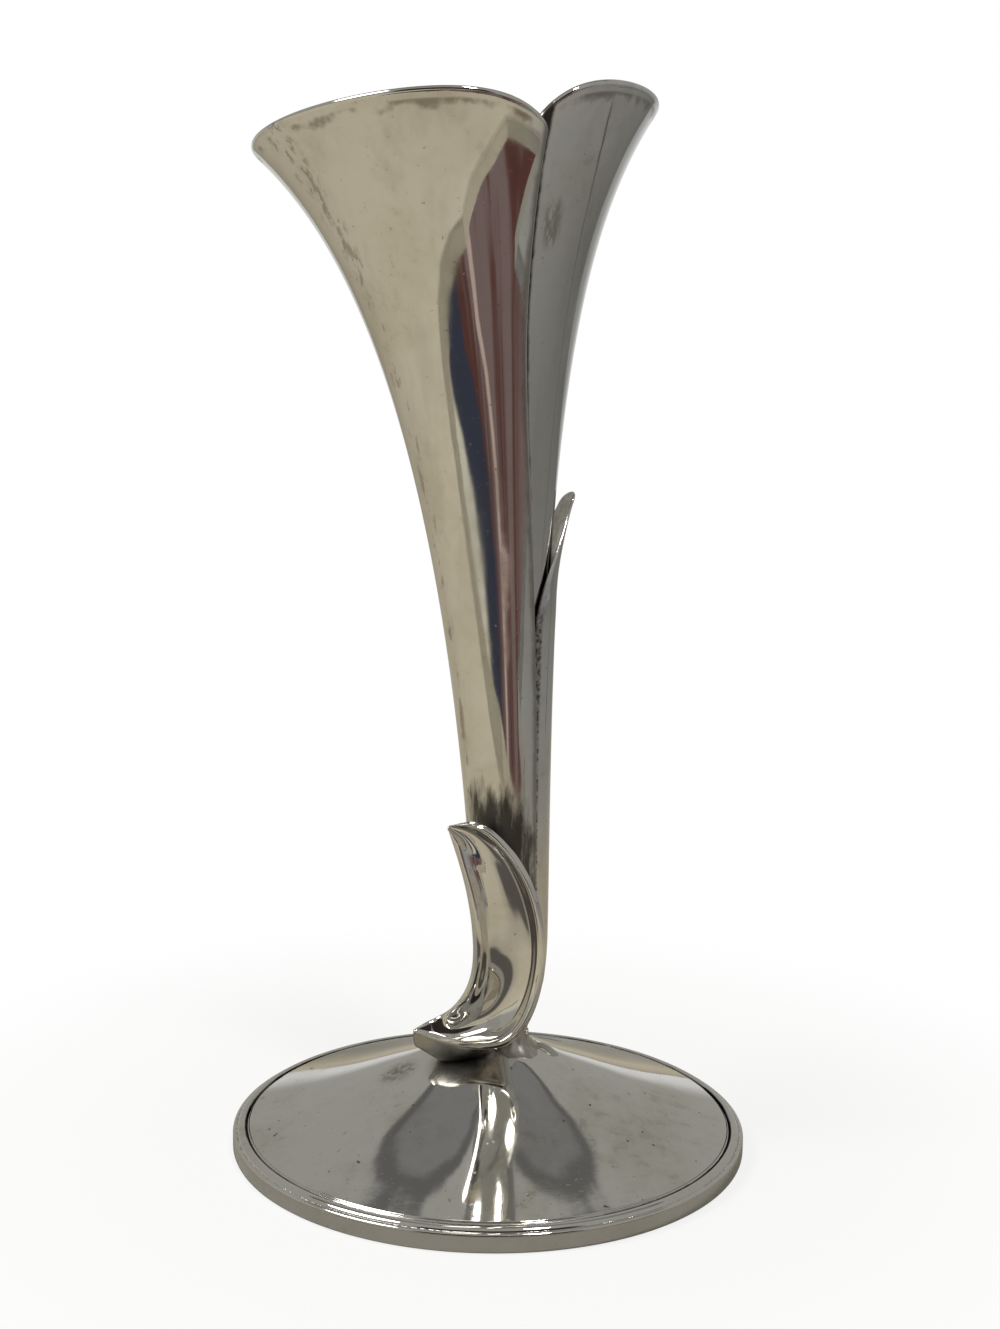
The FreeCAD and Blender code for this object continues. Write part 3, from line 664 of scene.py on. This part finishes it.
def stem_way(along):
    """Direction of the stem: the sine of its tilt along the lean and the cosine upwards."""
    tilt = STEM_TILT + along / BEND_RADIUS
    return np.stack([math.sin(LEAN) * np.sin(tilt), -math.cos(LEAN) * np.sin(tilt), np.cos(tilt)], -1)


def spoke(along, bearing):
    """Unit vector square to the stem at a bearing in degrees, from the front towards the right."""
    tilt = STEM_TILT + along / BEND_RADIUS
    turn = np.radians(bearing)
    level = np.stack([np.sin(turn), -np.cos(turn), 0.0 * turn], -1)
    lean_way = np.array([math.sin(LEAN), -math.cos(LEAN), 0.0])
    part = (level @ lean_way)[..., None]
    leaning = lean_way * np.cos(tilt)[..., None] - np.array([0.0, 0.0, 1.0]) * np.sin(tilt)[..., None]
    return level - lean_way * part + leaning * part


def flare_radius(along):
    """Outer radius: stem + swell (e^(rate q) - 1) / (e^rate - 1) + lip q^14, q the share of the
    length, drawn in towards the foot by a share of the square of the length left in the tail."""
    share = along / TRUMPET_LENGTH
    grown = (np.exp(FLARE_RATE * share) - 1.0) / (math.exp(FLARE_RATE) - 1.0)
    radius = STEM_RADIUS + (MOUTH_RADIUS - LIP_SPREAD - STEM_RADIUS) * grown
    radius = radius + LIP_SPREAD * np.abs(share) ** LIP_POWER
    tail = np.maximum(TAIL_LENGTH - along, 0.0) / TAIL_LENGTH
    return radius * (1.0 - TAIL_SHARE * tail * tail)


def flare_point(along, bearing, offset):
    """A point at an offset square to the flared face."""
    step = WALL / 10
    slope = np.arctan2(flare_radius(along + step) - flare_radius(along - step), 2 * step)
    reach = flare_radius(along) + offset * np.cos(slope)
    return (stem_centre(along) + spoke(along, bearing) * reach[..., None]
            - stem_way(along) * (offset * np.sin(slope))[..., None])


def seam_bearing(along):
    """Bearing of the lapped edge: it turns slowly to the right on its way down."""
    low = eased((SEAM_TURN_HIGH - along) / (SEAM_TURN_HIGH - SEAM_TURN_LOW))
    return SEAM_AT_MOUTH + (SEAM_AT_STEM - SEAM_AT_MOUTH) * low


def rim_end(share):
    """Length of the sheet at a share of its width: the two upper corners fall off exponentially."""
    rim_width = 2 * math.pi * MOUTH_RADIUS + LAP_WIDTH
    outer = NOTCH_OUTER * np.exp(-(1.0 - share) * rim_width / CORNER_OUTER)
    inner = NOTCH_INNER * np.exp(-share * rim_width / CORNER_INNER)
    return TRUMPET_LENGTH - outer - inner


half_wall = WALL / 2
edge_turn = np.linspace(0.0, math.pi / 2, EDGE_STEPS)
edge_share = np.sin(edge_turn)
even = np.linspace(0.0, 1.0, ACROSS_STEPS)
across_even = 0.5 - 0.5 * np.cos(math.pi * even)
across_even = CROWD_SHARE * across_even + (1.0 - CROWD_SHARE) * even
sheet_width = 2 * math.pi * MEAN_RADIUS
near_edge = half_wall / sheet_width
across = near_edge + (1.0 - 2 * near_edge) * across_even
across = np.concatenate([near_edge * (1.0 - edge_share[::-1]), across[1:-1],
                         1.0 - near_edge * (1.0 - edge_share)])
across_taper = np.concatenate([edge_share[::-1], np.zeros(ACROSS_STEPS - 2), edge_share])
rising = 1.0 - (1.0 - np.linspace(0.0, 1.0, ALONG_STEPS)) ** ROW_POWER
lip_rise = np.concatenate([rising, 1.0 + edge_share[1:]])
lip_taper = np.concatenate([0.0 * rising, edge_share[1:]])
# In a corner the two roundings meet: a square of cells is drawn in to a quarter of a disc.
side_taper = across_taper[:, None] + 0.0 * lip_taper
top_taper = lip_taper + 0.0 * side_taper
drawn_in = np.maximum(side_taper, top_taper) / np.maximum(np.hypot(side_taper, top_taper), near_edge)
shift = near_edge * side_taper * (1.0 - drawn_in)
share = across[:, None] + np.where(across[:, None] < 0.5, shift, -shift)
end = rim_end(share)
along = TUBE_START + (end - TUBE_START) * np.minimum(lip_rise, 1.0) + top_taper * drawn_in * half_wall
lap = np.degrees(LAP_WIDTH / flare_radius(along))
sheet_bearing = seam_bearing(along) - lap + share * (360.0 + lap)
from_seam = sheet_bearing - seam_bearing(along)
joggled = -(WALL + LAP_GAP) * (1.0 - eased(from_seam / JOGGLE))
taper = np.maximum(side_taper, top_taper)
thick = half_wall * np.sqrt(1.0 - taper ** 2)
outer_face = flare_point(along, sheet_bearing, joggled - half_wall + thick)
inner_face = flare_point(along, sheet_bearing, joggled - half_wall - thick)
foot_end = np.linspace(0.0, 1.0, 3)[:, None, None]
end_strip = (outer_face[:, 0] * (1.0 - foot_end) + inner_face[:, 0] * foot_end).transpose(1, 0, 2)
from_edge = np.abs(from_seam - 360.0) * np.radians(1.0) * flare_radius(along)
past_edge = np.abs(from_seam) * np.radians(1.0) * flare_radius(along)
to_rim = end + half_wall - along
blank = 0.0 * end_strip[..., 0]
layers = {
    "along": [along, along, blank + TUBE_START], "bearing": [sheet_bearing, sheet_bearing, blank],
    "edge_gap": [from_edge, from_edge, blank + 1.0], "past_gap": [past_edge, past_edge, blank + 1.0],
    "rim_gap": [to_rim, to_rim, blank + 1.0], "inside": [0.0 * along, 0.0 * along + 1.0, blank],
}
trumpet = woven("flower", [outer_face, inner_face, end_strip], ["flower_trumpet"], layers)


def layer(sheet, name):
    """A number that the piece's mesh holds at each point."""
    return sheet.make("Attribute", {"attribute_name": name}, "Fac")


def streaks(sheet, place):
    """Fine noise drawn out along the height."""
    return sheet.noise(place, 700.0, 3.0, 0.65, stretch=(1.0, 1.0, 0.22))


def flower_dirt_and_shade(sheet, place, fine):
    """Painted shade: black in the corner beside the lapped edge, wider where the noise is strong. Painted
    shadow with tarnish on the metal above the short leaf, in streaks that fade upwards."""
    # Painted shade in the corner beside the lapped edge.
    corner = 1.0 - sheet.step(layer(sheet, "past_gap") / MM - fine * 0.9, 0.10, 0.75)
    drawn = streaks(sheet, place)
    leaf_gap = layer(sheet, "leaf_gap") / MM
    # Painted shadow with tarnish: black streaks above the short leaf, and black where it meets the stem.
    scorched = 1.0 - sheet.step(leaf_gap - drawn * 9.0, -3.4, 1.2)
    scorched = scorched.most((1.0 - sheet.step(leaf_gap - fine * 2.0, -0.4, 1.0)) * 0.9)
    return (corner * 0.9).most(scorched * 0.9)


def patch(sheet, along_sheet, round_sheet, where, size):
    """A soft spot on the sheet, at a length and a bearing, with a half length and a half angle."""
    up = (along_sheet - where[0]) / size[0]
    aside = (round_sheet - where[1]) / size[1]
    return 1.0 - sheet.step((up * up + aside * aside).math("SQRT"), 0.45, 1.1)


LEFT_STAIN = ((131.0, 302.0), (1.5, 2.6))
RIGHT_STAIN = ((131.0, 41.0), (4.5, 6.0))
WORN_BEARING = 307.0


def flower_marks_and_shade(sheet, place, fine):
    """Brown along the lapped edge, partly tarnish and partly painted shade and a painted dark reflection;
    painted shade in the recess beside it; smears under the lip, a worn column down the left side, and two
    stains on the flare."""
    edge_gap = layer(sheet, "edge_gap") / MM
    past_gap = layer(sheet, "past_gap") / MM
    along_sheet = layer(sheet, "along") / MM
    round_sheet = layer(sheet, "bearing")
    inside = layer(sheet, "inside")
    uneven = sheet.noise(place, 240.0, 3.0, 0.6)
    drawn = streaks(sheet, place)
    long_drawn = sheet.noise(place, 160.0, 3.0, 0.6, stretch=(1.0, 1.0, 0.12))
    # Painted shade and a painted dark reflection, with some tarnish, in a brown band along the lapped edge.
    by_edge = (1.0 - sheet.step(edge_gap + uneven * 1.2, 1.2, 2.3)) * sheet.step(edge_gap, 0.15, 0.4) * 0.62
    # Painted shade in the recess of the sheet that lies under the lapped edge.
    recess_shade = (1.0 - sheet.step(past_gap + uneven * 1.2, 0.9, 2.0)) * 0.5
    lip_gap = layer(sheet, "rim_gap") / MM
    lip = (1.0 - sheet.step(lip_gap + uneven * 4.0, 3.2, 4.6)) * sheet.step(lip_gap, 0.9, 1.4)
    lip = lip * sheet.step(long_drawn, 0.44, 0.56) * 0.65
    column = 1.0 - sheet.step(abs(round_sheet + uneven * 12.0 - WORN_BEARING), 3.0, 9.0)
    column = column * sheet.step(drawn, 0.50, 0.60) * sheet.step(uneven, 0.40, 0.52) * 0.55
    right_stain = patch(sheet, along_sheet, round_sheet, *RIGHT_STAIN) * sheet.step(drawn, 0.42, 0.55)
    stains = patch(sheet, along_sheet, round_sheet, *LEFT_STAIN).most(right_stain)
    soft = sheet.step(long_drawn, 0.48, 0.74) * 0.16
    outer = by_edge.most(recess_shade).most(lip).most(column).most(stains * 0.5).most(soft)
    return outer * (1.0 - inside * 0.6)


plated(trumpet, "flower_plate", 0.6, marks_and_shade=flower_marks_and_shade, dirt_and_shade=flower_dirt_and_shade)


# Bung: a short turned plug that closes the lower end of the tube. Its spigot fits inside the tube,
# and its tapered foot stands on the crown and is soldered there.
PLUG_LENGTH = 5.0 * MM
PLUG_FIT = 0.05 * MM
BUNG_SINK_SHARE = 0.65

side_along = np.linspace(-DOME_WALL * BUNG_SINK_SHARE, TUBE_START, 40)
shank = flare_radius(np.array(TUBE_START)) - 2 * WALL - LAP_GAP - PLUG_FIT
plug_end = TUBE_START + PLUG_LENGTH
bung_along = np.concatenate([side_along[:1], side_along, [TUBE_START, plug_end, plug_end]])
bung_radius = np.concatenate([[0.0], flare_radius(side_along), [shank, shank], [0.0]])
bung_turn = np.linspace(0.0, 360.0, 97)[:, None]
bung_grid = (stem_centre(bung_along) + spoke(bung_along + 0.0 * bung_turn, bung_turn + 0.0 * bung_along)
             * bung_radius[:, None])
bung = woven("bung", [bung_grid], ["stem_base"])
plated(bung, "bung_plate", 1.0)


# Seam solder: the dark line that fills the corner between the lapped edge and the sheet under it.
# It was run in from outside, so its face is hollow and its width uneven.
SOLDER_LEG = 0.5 * MM
SEAM_SHORT = 9.5 * MM
SEAM_STATIONS = 420
SEAM_CLEAR = 0.12 * MM
UNEVEN_SHARE = 0.22

seam_along = np.linspace(TUBE_START, TRUMPET_LENGTH - SEAM_SHORT, SEAM_STATIONS)[:, None]
uneven = (np.sin(seam_along / MM * 1.9) + np.sin(seam_along / MM * 4.3 + 1.0)
          + np.sin(seam_along / MM * 0.57 + 2.0)) / 3.0
leg = SOLDER_LEG * (1.0 - UNEVEN_SHARE + UNEVEN_SHARE * uneven)
round_face = np.linspace(0.0, math.pi / 2, 7)
fillet_out = np.concatenate([[0.0], 1.0 - np.sin(round_face), [0.0]])
fillet_up = np.concatenate([[0.0], 1.0 - np.cos(round_face), [0.0]])
ends = np.ones((SEAM_STATIONS, 1))
ends[0], ends[-1] = 0.0, 0.0
out_turn = np.degrees((SEAM_CLEAR + fillet_out * leg * ends) / flare_radius(seam_along))
seam_grid = flare_point(seam_along + 0.0 * fillet_out, seam_bearing(seam_along) + out_turn,
                        SEAM_CLEAR - WALL - LAP_GAP + fillet_up * leg * ends)
seam_line = woven("seam_line", [seam_grid], ["seam_solder"])
plated(seam_line, "seam_solder_skin", 1.0, marks_and_shade=lambda sheet, place, fine: fine * 0.6 + 0.55, dull=0.15)


# Long leaf: a thin blade of plated sheet that hugs the right and the back of the stem. It is
# soldered along its left edge, narrows past its shoulder and curls away from the tube at its tip.
LEAF_BEARING = 115.0
LEAF_START = 9.0 * MM
LEAF_LENGTH = 82.0 * MM
LEAF_HALF_ANGLE = 62.0
LEAF_THICKNESS = 0.95 * MM
LEAF_TIP = 1.75 * MM
LEAF_ROUND = 1.6 * MM
LEAF_CURL = 3.4 * MM
SEAT_GAP = 0.12 * MM
SHOULDER_SHARE = 0.72
HEEL_SHARE = 0.25
HEEL_NARROW_SHARE = 0.35
HEEL_ROUND_SHARE = 0.6
CURL_SHARE = 0.80
EDGE_THICK_SHARE = 0.6
LEAF_CLEAR = 2.5
LEAF_SINK = 38.0
BLADE_STEPS = 220
BLADE_AROUND = 72

round_share = LEAF_ROUND / LEAF_LENGTH
tip_rows = 1.0 - round_share * (1.0 - np.sin(np.linspace(0.1, math.pi / 2, 12)))
blade_share = np.concatenate([np.linspace(0.0, 1.0 - round_share, BLADE_STEPS), tip_rows])[:, None]
blade_along = LEAF_START + LEAF_LENGTH * blade_share
tip_half = np.degrees(LEAF_TIP / flare_radius(blade_along))
narrowing = 1.0 - eased((blade_share - SHOULDER_SHARE) / (1.0 - SHOULDER_SHARE))
heeling = 1.0 - HEEL_NARROW_SHARE * (1.0 - eased(blade_share / HEEL_SHARE))
blade_half = tip_half + (LEAF_HALF_ANGLE - tip_half) * narrowing * heeling
from_tip = np.clip((blade_share - 1.0) / round_share + 1.0, 0.0, 1.0)
from_heel = np.clip(1.0 - blade_share / (HEEL_ROUND_SHARE * round_share), 0.0, 1.0)
closing = np.sqrt(1.0 - from_tip ** 2) * np.sqrt(1.0 - from_heel ** 2)
lift = np.maximum(blade_share - CURL_SHARE, 0.0) / (1.0 - CURL_SHARE)
seat_radius = flare_radius(blade_along) + SEAT_GAP + LEAF_CURL * lift ** 2
loop = np.linspace(0.0, 2.0 * math.pi, BLADE_AROUND + 1)
cosine, sine = np.cos(loop), np.sin(loop)
blade_across = np.sign(cosine) * np.abs(cosine) ** 0.8
blade_level = 0.5 + 0.5 * np.sign(sine) * np.abs(sine) ** 0.55
crowned = EDGE_THICK_SHARE + (1.0 - EDGE_THICK_SHARE) * np.sqrt(1.0 - 0.9 * blade_across ** 2)
blade_depth = LEAF_THICKNESS * (0.5 + (blade_level * crowned - 0.5) * closing)
blade_bearing = LEAF_BEARING + blade_half * blade_across * closing
blade_bearing = np.maximum(blade_bearing, seam_bearing(blade_along) + LEAF_CLEAR)
sink = LEAF_SINK + (JOGGLE - LEAF_SINK) * np.clip(-1.4 * blade_across * closing - 0.4, 0.0, 1.0)
step_down = (WALL + LAP_GAP) * (1.0 - eased((blade_bearing - seam_bearing(blade_along)) / sink))
blade_along_full = blade_along + 0.0 * blade_across
blade_grid = (stem_centre(blade_along_full)
              + spoke(blade_along_full, blade_bearing) * (seat_radius - step_down + blade_depth)[..., None])
long_leaf = woven("long_leaf", [blade_grid], ["back_leaf"], {
    "side": [blade_across + 0.0 * blade_along],
    "tip_share": [blade_share + 0.0 * blade_across], "inner": [1.0 - blade_level + 0.0 * blade_along]})


def leaf_dirt(sheet, place, fine):
    """Black grains of solder and tarnish along the left edge, as far up as it is soldered."""
    grain = sheet.noise(place, 1100.0, 3.0, 0.7)
    left_edge = 1.0 - sheet.step(layer(sheet, "side") - grain * 0.12, -0.96, -0.86)
    soldered = 1.0 - sheet.step(layer(sheet, "tip_share"), 0.72, 0.86)
    return left_edge * soldered * (0.45 + 0.45 * sheet.step(grain, 0.42, 0.60))


def leaf_inner_shade(sheet, place, fine):
    """Painted shade on the inner face, which faces the stem and shows only at the tip."""
    grain = sheet.noise(place, 800.0, 3.0, 0.7)
    # Painted shade: the inner face is darkened with the tarnish colour.
    return sheet.step(layer(sheet, "inner"), 0.55, 0.8) * (0.40 + 0.20 * sheet.step(grain, 0.4, 0.6))


plated(long_leaf, "long_leaf_plate", 0.7, marks_and_shade=leaf_inner_shade, dirt_and_shade=leaf_dirt)


# Short leaf: a thick casting in the form of a curled petal. Two rounded rims leave the upper tip,
# bow round a deep hollow and meet at the lower left, where the heel is soldered to the foot.
RIGHT_RIM_SHARES = [(-1.75, -0.97, 1.0), (-0.99, -0.90, 1.02), (-0.19, -1.0, 0.935),
                    (0.77, -0.97, 0.63), (0.84, -1.02, 0.27), (-0.08, -1.22, 0.0),
                    (-1.74, -1.07, 0.0), (-2.65, -0.6, 0.015)]
LEFT_RIM_SHARES = [(-1.75, -0.97, 1.0), (-1.26, -0.98, 0.73), (-1.04, -1.0, 0.5),
                   (-1.36, -0.52, 0.165), (-2.07, -0.25, 0.035), (-2.65, -0.6, 0.015)]
PETAL_HEIGHT = 36.0 * MM
PETAL_LIFT = 2.7 * MM
PETAL_HALF_WIDTH = 6.1 * MM
PETAL_STAND = 2.8 * MM
PETAL_WALL = 1.6 * MM
PETAL_RIM = 1.7 * MM
PETAL_DISH = 1.7 * MM
PETAL_HEEL = 5.4 * MM
BOWL_SHARE = 0.75
BOWL_FROM_SHARE = 0.50
BOWL_END_SHARE = 0.85
RIM_REACH = 2.2 * MM
FIRST_SHARE = 0.015
LAST_SHARE = 0.985
RIM_MOST_SHARE = 0.3
HEEL_FROM_SHARE = 0.55
HEEL_FULL_SHARE = 0.8
HEEL_LEFT_SHARE = 0.35
PETAL_BITE = 0.4 * MM
HOLLOW_SHARES = np.array([0.0, 0.08, 0.18, 0.34, 0.5, 0.66, 0.82, 0.92, 1.0])
UNDER_SHARES = np.array([0.0, 0.2, 0.5, 0.8, 1.0])
PETAL_STEPS = 200
CAP_STEPS = 7
CAP_REACH_SHARE = 0.35
HOLLOW_STEPS = 90
UNDER_STEPS = 50


def rim_line(shares, wanted):
    """The rim at shares of its length: a spline through its points, measured along itself."""
    base = stem_centre(np.array(0.0))
    scale = np.array([PETAL_HALF_WIDTH, STEM_RADIUS + PETAL_STAND, PETAL_HEIGHT])
    spots = base + np.asarray(shares) * scale + np.array([0.0, 0.0, PETAL_LIFT])
    chords = np.concatenate([[0.0], np.cumsum(np.linalg.norm(np.diff(spots, axis=0), axis=1))])
    dense = spline(chords, spots, np.linspace(0.0, chords[-1], 900))
    length = np.concatenate([[0.0], np.cumsum(np.linalg.norm(np.diff(dense, axis=0), axis=1))])
    return np.stack([np.interp(wanted * length[-1], length, dense[:, axis]) for axis in range(3)], -1)


petal_share = FIRST_SHARE + (LAST_SHARE - FIRST_SHARE) * np.linspace(0.0, 1.0, PETAL_STEPS)
right_rim = rim_line(RIGHT_RIM_SHARES, petal_share)
left_rim = rim_line(LEFT_RIM_SHARES, petal_share)
middle = (right_rim + left_rim) / 2
petal_width = np.linalg.norm(right_rim - left_rim, axis=1)
petal_across = (right_rim - left_rim) / petal_width[:, None]
petal_way = np.gradient(middle, axis=0)
petal_way = petal_way / np.linalg.norm(petal_way, axis=1)[:, None]
opening = np.cross(petal_way, petal_across)
opening = opening / np.linalg.norm(opening, axis=1)[:, None]
swell = np.sin(math.pi * petal_share)
rim_part = np.minimum(PETAL_RIM / petal_width, RIM_MOST_SHARE)
bowl = eased((petal_share - BOWL_FROM_SHARE) / 0.30)
bowl = bowl * (1.0 - eased((petal_share - BOWL_END_SHARE) / (1.0 - BOWL_END_SHARE)))
deep = PETAL_DISH * (swell + BOWL_SHARE * bowl)
heel = PETAL_HEEL * eased((petal_share - HEEL_FROM_SHARE) / (HEEL_FULL_SHARE - HEEL_FROM_SHARE))
heel_end = eased((petal_share - HEEL_FULL_SHARE) / (1.0 - HEEL_FULL_SHARE))
heel = heel * (1.0 - (1.0 - HEEL_LEFT_SHARE) * heel_end)
back_depth = PETAL_DISH * swell + PETAL_WALL * (1.0 + swell) / 2 + heel
from_middle = np.abs(2.0 * HOLLOW_SHARES - 1.0)[:, None]
from_edge = (1.0 - from_middle) / (2 * rim_part)
on_rim = rim_part * petal_width / 2 * np.sin(math.pi * np.clip(from_edge, 0.0, 1.0))
in_dish = -deep * (1.0 - (from_middle / (1.0 - 2 * rim_part)) ** 2)
hollow_level = np.where(from_middle > 1.0 - 2 * rim_part, on_rim, in_dish)
under_level = back_depth * np.sqrt(1.0 - (2.0 * UNDER_SHARES - 1.0) ** 2)[:, None]


def leaf_face(shares, level, wanted):
    """A face of the leaf: splines across it, through points at shares of its width and a level."""
    knots = left_rim + petal_across * (petal_width * shares[:, None])[..., None] + opening * level[..., None]
    return spline(shares, knots.reshape(len(shares), -1), wanted)


hollow_face = leaf_face(HOLLOW_SHARES, hollow_level, np.linspace(0.0, 1.0, HOLLOW_STEPS))
under_face = leaf_face(UNDER_SHARES, -under_level, np.linspace(1.0, 0.0, UNDER_STEPS))
petal_grid = np.vstack([hollow_face, under_face[1:]]).reshape(-1, PETAL_STEPS, 3).transpose(1, 0, 2)
caps = []
for row, way in ((0, -1.0), (-1, 1.0)):
    centre = petal_grid[row].mean(axis=0)
    cap_turn = np.linspace(0.0, math.pi / 2, CAP_STEPS + 1)[1:, None, None]
    reach = petal_way[row] * way * petal_width[row] * CAP_REACH_SHARE
    caps.append(centre + (petal_grid[row] - centre) * np.cos(cap_turn) + reach * np.sin(cap_turn))
petal_grid = np.vstack([caps[0][::-1], petal_grid, caps[1]])


def beside_stem(points, gap):
    """Points inside the stem are moved straight out to its face, and those inside the foot up."""
    tilt = np.arcsin(np.clip((points[..., 2] - DOME_HEIGHT) / BEND_RADIUS + math.sin(STEM_TILT), -1.0, 1.0))
    height_along = (tilt - STEM_TILT) * BEND_RADIUS
    centre = stem_centre(height_along)
    away = points - centre
    distance = np.linalg.norm(away, axis=-1)
    needed = np.maximum(flare_radius(height_along) + gap, distance)
    points = centre + away * (needed / np.maximum(distance, TINY_ROUND))[..., None]
    floor = foot_height(np.hypot(points[..., 0], points[..., 1])) - SEAT_GAP
    points[..., 2] = np.maximum(points[..., 2], floor)
    return points


petal_grid = beside_stem(petal_grid, -PETAL_BITE)
hollow_mask = np.concatenate([np.ones(HOLLOW_STEPS), np.zeros(UNDER_STEPS - 1)])
length_share = np.pad(np.linspace(0.0, 1.0, PETAL_STEPS), CAP_STEPS, "edge")[:, None]
short_leaf = woven("short_leaf", [petal_grid], ["front_leaf"],
                   {"hollow": [hollow_mask + 0.0 * length_share],
                    "length_share": [length_share + 0.0 * hollow_mask]})

# Where the leaf was soldered on, the stem is blackened with painted shadow and tarnish: the flower's
# mesh holds the distance to the leaf's rims, less their reach.
UPPER_ROWS = 60
FAR_OFF = 50.0 * MM
stem_spots = np.empty(len(trumpet.data.vertices) * 3, np.float32)
trumpet.data.vertices.foreach_get("co", stem_spots)
stem_spots = stem_spots.reshape(-1, 3)
leaf_gap = np.full(len(stem_spots), FAR_OFF)
for spot in np.vstack([right_rim[::3], left_rim[:UPPER_ROWS:3], middle[:UPPER_ROWS:3]]):
    leaf_gap = np.minimum(leaf_gap, np.linalg.norm(stem_spots - spot, axis=1))
gap_layer = trumpet.data.attributes.new("leaf_gap", "FLOAT", "POINT")
gap_layer.data.foreach_set("value", (leaf_gap - RIM_REACH).astype(np.float32))


def petal_tarnish_and_shade(sheet, place, fine):
    """Tarnish on the underside, and a little low in the hollow, and painted shade that darkens the
    underside towards its lower end.
    """
    hollow = layer(sheet, "hollow")
    low = sheet.step(layer(sheet, "length_share"), 0.55, 0.85)
    uneven = sheet.noise(place, 300.0, 3.0, 0.6)
    worn = sheet.step(uneven, 0.46, 0.62) * ((1.0 - hollow) * 0.30 + hollow * low * 0.22)
    # Painted shade: the underside is darker towards its lower end.
    return worn.most((1.0 - hollow) * low * (0.35 + 0.3 * uneven))


def petal_shade_and_grime(sheet, place, fine):
    """The painted shade and grime in the corner, on the underside only."""
    return grime_and_shade(sheet, place, fine) * (1.0 - layer(sheet, "hollow")) * 0.85


plated(short_leaf, "short_leaf_plate", 0.7, marks_and_shade=petal_tarnish_and_shade, dirt_and_shade=petal_shade_and_grime)


# Solder at the foot of the stem: a lumpy fillet that runs round the bung and under the short leaf,
# and the drop that ran out of it to the right and set on the flank.
COLLAR_SPREAD = 2.25 * MM
COLLAR_HEIGHT = 2.6 * MM
BLOB_RADIUS = 1.9 * MM
BLOB_HEIGHT = 0.6 * MM
BLOB_REACH = 6.6 * MM
BLOB_BEARING = math.radians(100.0)
BLOB_RINGS = 22
LUMP_SHARE = 0.16
COLLAR_AROUND = 200
COLLAR_RINGS = 26
CORE_SHARE = 0.8


def circle(centre, radius, turn):
    """The level coordinates of points round a centre."""
    return centre[0] + radius * np.sin(turn), centre[1] - radius * np.cos(turn)


collar_turn = np.linspace(0.0, 2.0 * math.pi, COLLAR_AROUND + 1)[:, None]
lumps = 1.0 + LUMP_SHARE * (np.sin(3 * collar_turn + 0.4) + np.sin(7 * collar_turn + 2.0) * 0.6
                            + np.sin(13 * collar_turn) * 0.35)
drop = np.linspace(0.0, 1.0, COLLAR_RINGS)
neck = flare_radius(np.array(COLLAR_HEIGHT)) + SEAT_GAP / 2
foot_centre = stem_centre(np.array(0.0))
collar_radius = neck + COLLAR_SPREAD * lumps * drop ** 2.2
collar_x, collar_y = circle(foot_centre, collar_radius, collar_turn)
skirt = foot_height(np.hypot(collar_x, collar_y))
collar_z = skirt + COLLAR_HEIGHT * lumps * (1.0 - drop) ** 1.6
collar_grid = np.stack([collar_x, collar_y, collar_z], -1)
inner_x, inner_y = circle(foot_centre, neck * CORE_SHARE, collar_turn)
lower = np.stack([collar_x[:, -1:], collar_y[:, -1:], skirt[:, -1:] - SEAT_GAP], -1)
core_low = np.stack([inner_x, inner_y, skirt[:, :1] - SEAT_GAP], -1)
core_high = np.stack([inner_x, inner_y, collar_z[:, :1]], -1)
collar_grid = np.concatenate([collar_grid, lower, core_low, core_high, collar_grid[:, :1]], axis=1)
blob_turn = np.linspace(0.0, 2.0 * math.pi, 65)[:, None]
blob_share = np.concatenate([np.linspace(0.0, 1.0, BLOB_RINGS), [1.0, 0.0]])
blob_under = np.concatenate([np.zeros(BLOB_RINGS), [1.0, 1.0]])
blob_middle = circle(foot_centre, BLOB_REACH, BLOB_BEARING)
blob_edge = BLOB_RADIUS * (1.0 + 0.12 * np.sin(2 * blob_turn + 0.5) + 0.06 * np.sin(5 * blob_turn))
blob_x, blob_y = circle(blob_middle, blob_edge * blob_share, blob_turn)
blob_rise = BLOB_HEIGHT * (1.0 - blob_share ** 2) ** 0.8 * (1.0 - blob_under)
blob_z = foot_height(np.hypot(blob_x, blob_y)) + blob_rise - SEAT_GAP * blob_under
blob_grid = np.stack([blob_x, blob_y, blob_z], -1)
solder = woven("foot_solder", [collar_grid, blob_grid], ["base_solder"])
# The solder takes the same painted shade and grime under the heel.
plated(solder, "solder_skin", 1.0, marks_and_shade=lambda sheet, place, fine: fine * 0.9, dirt_and_shade=grime_and_shade, dull=0.22)
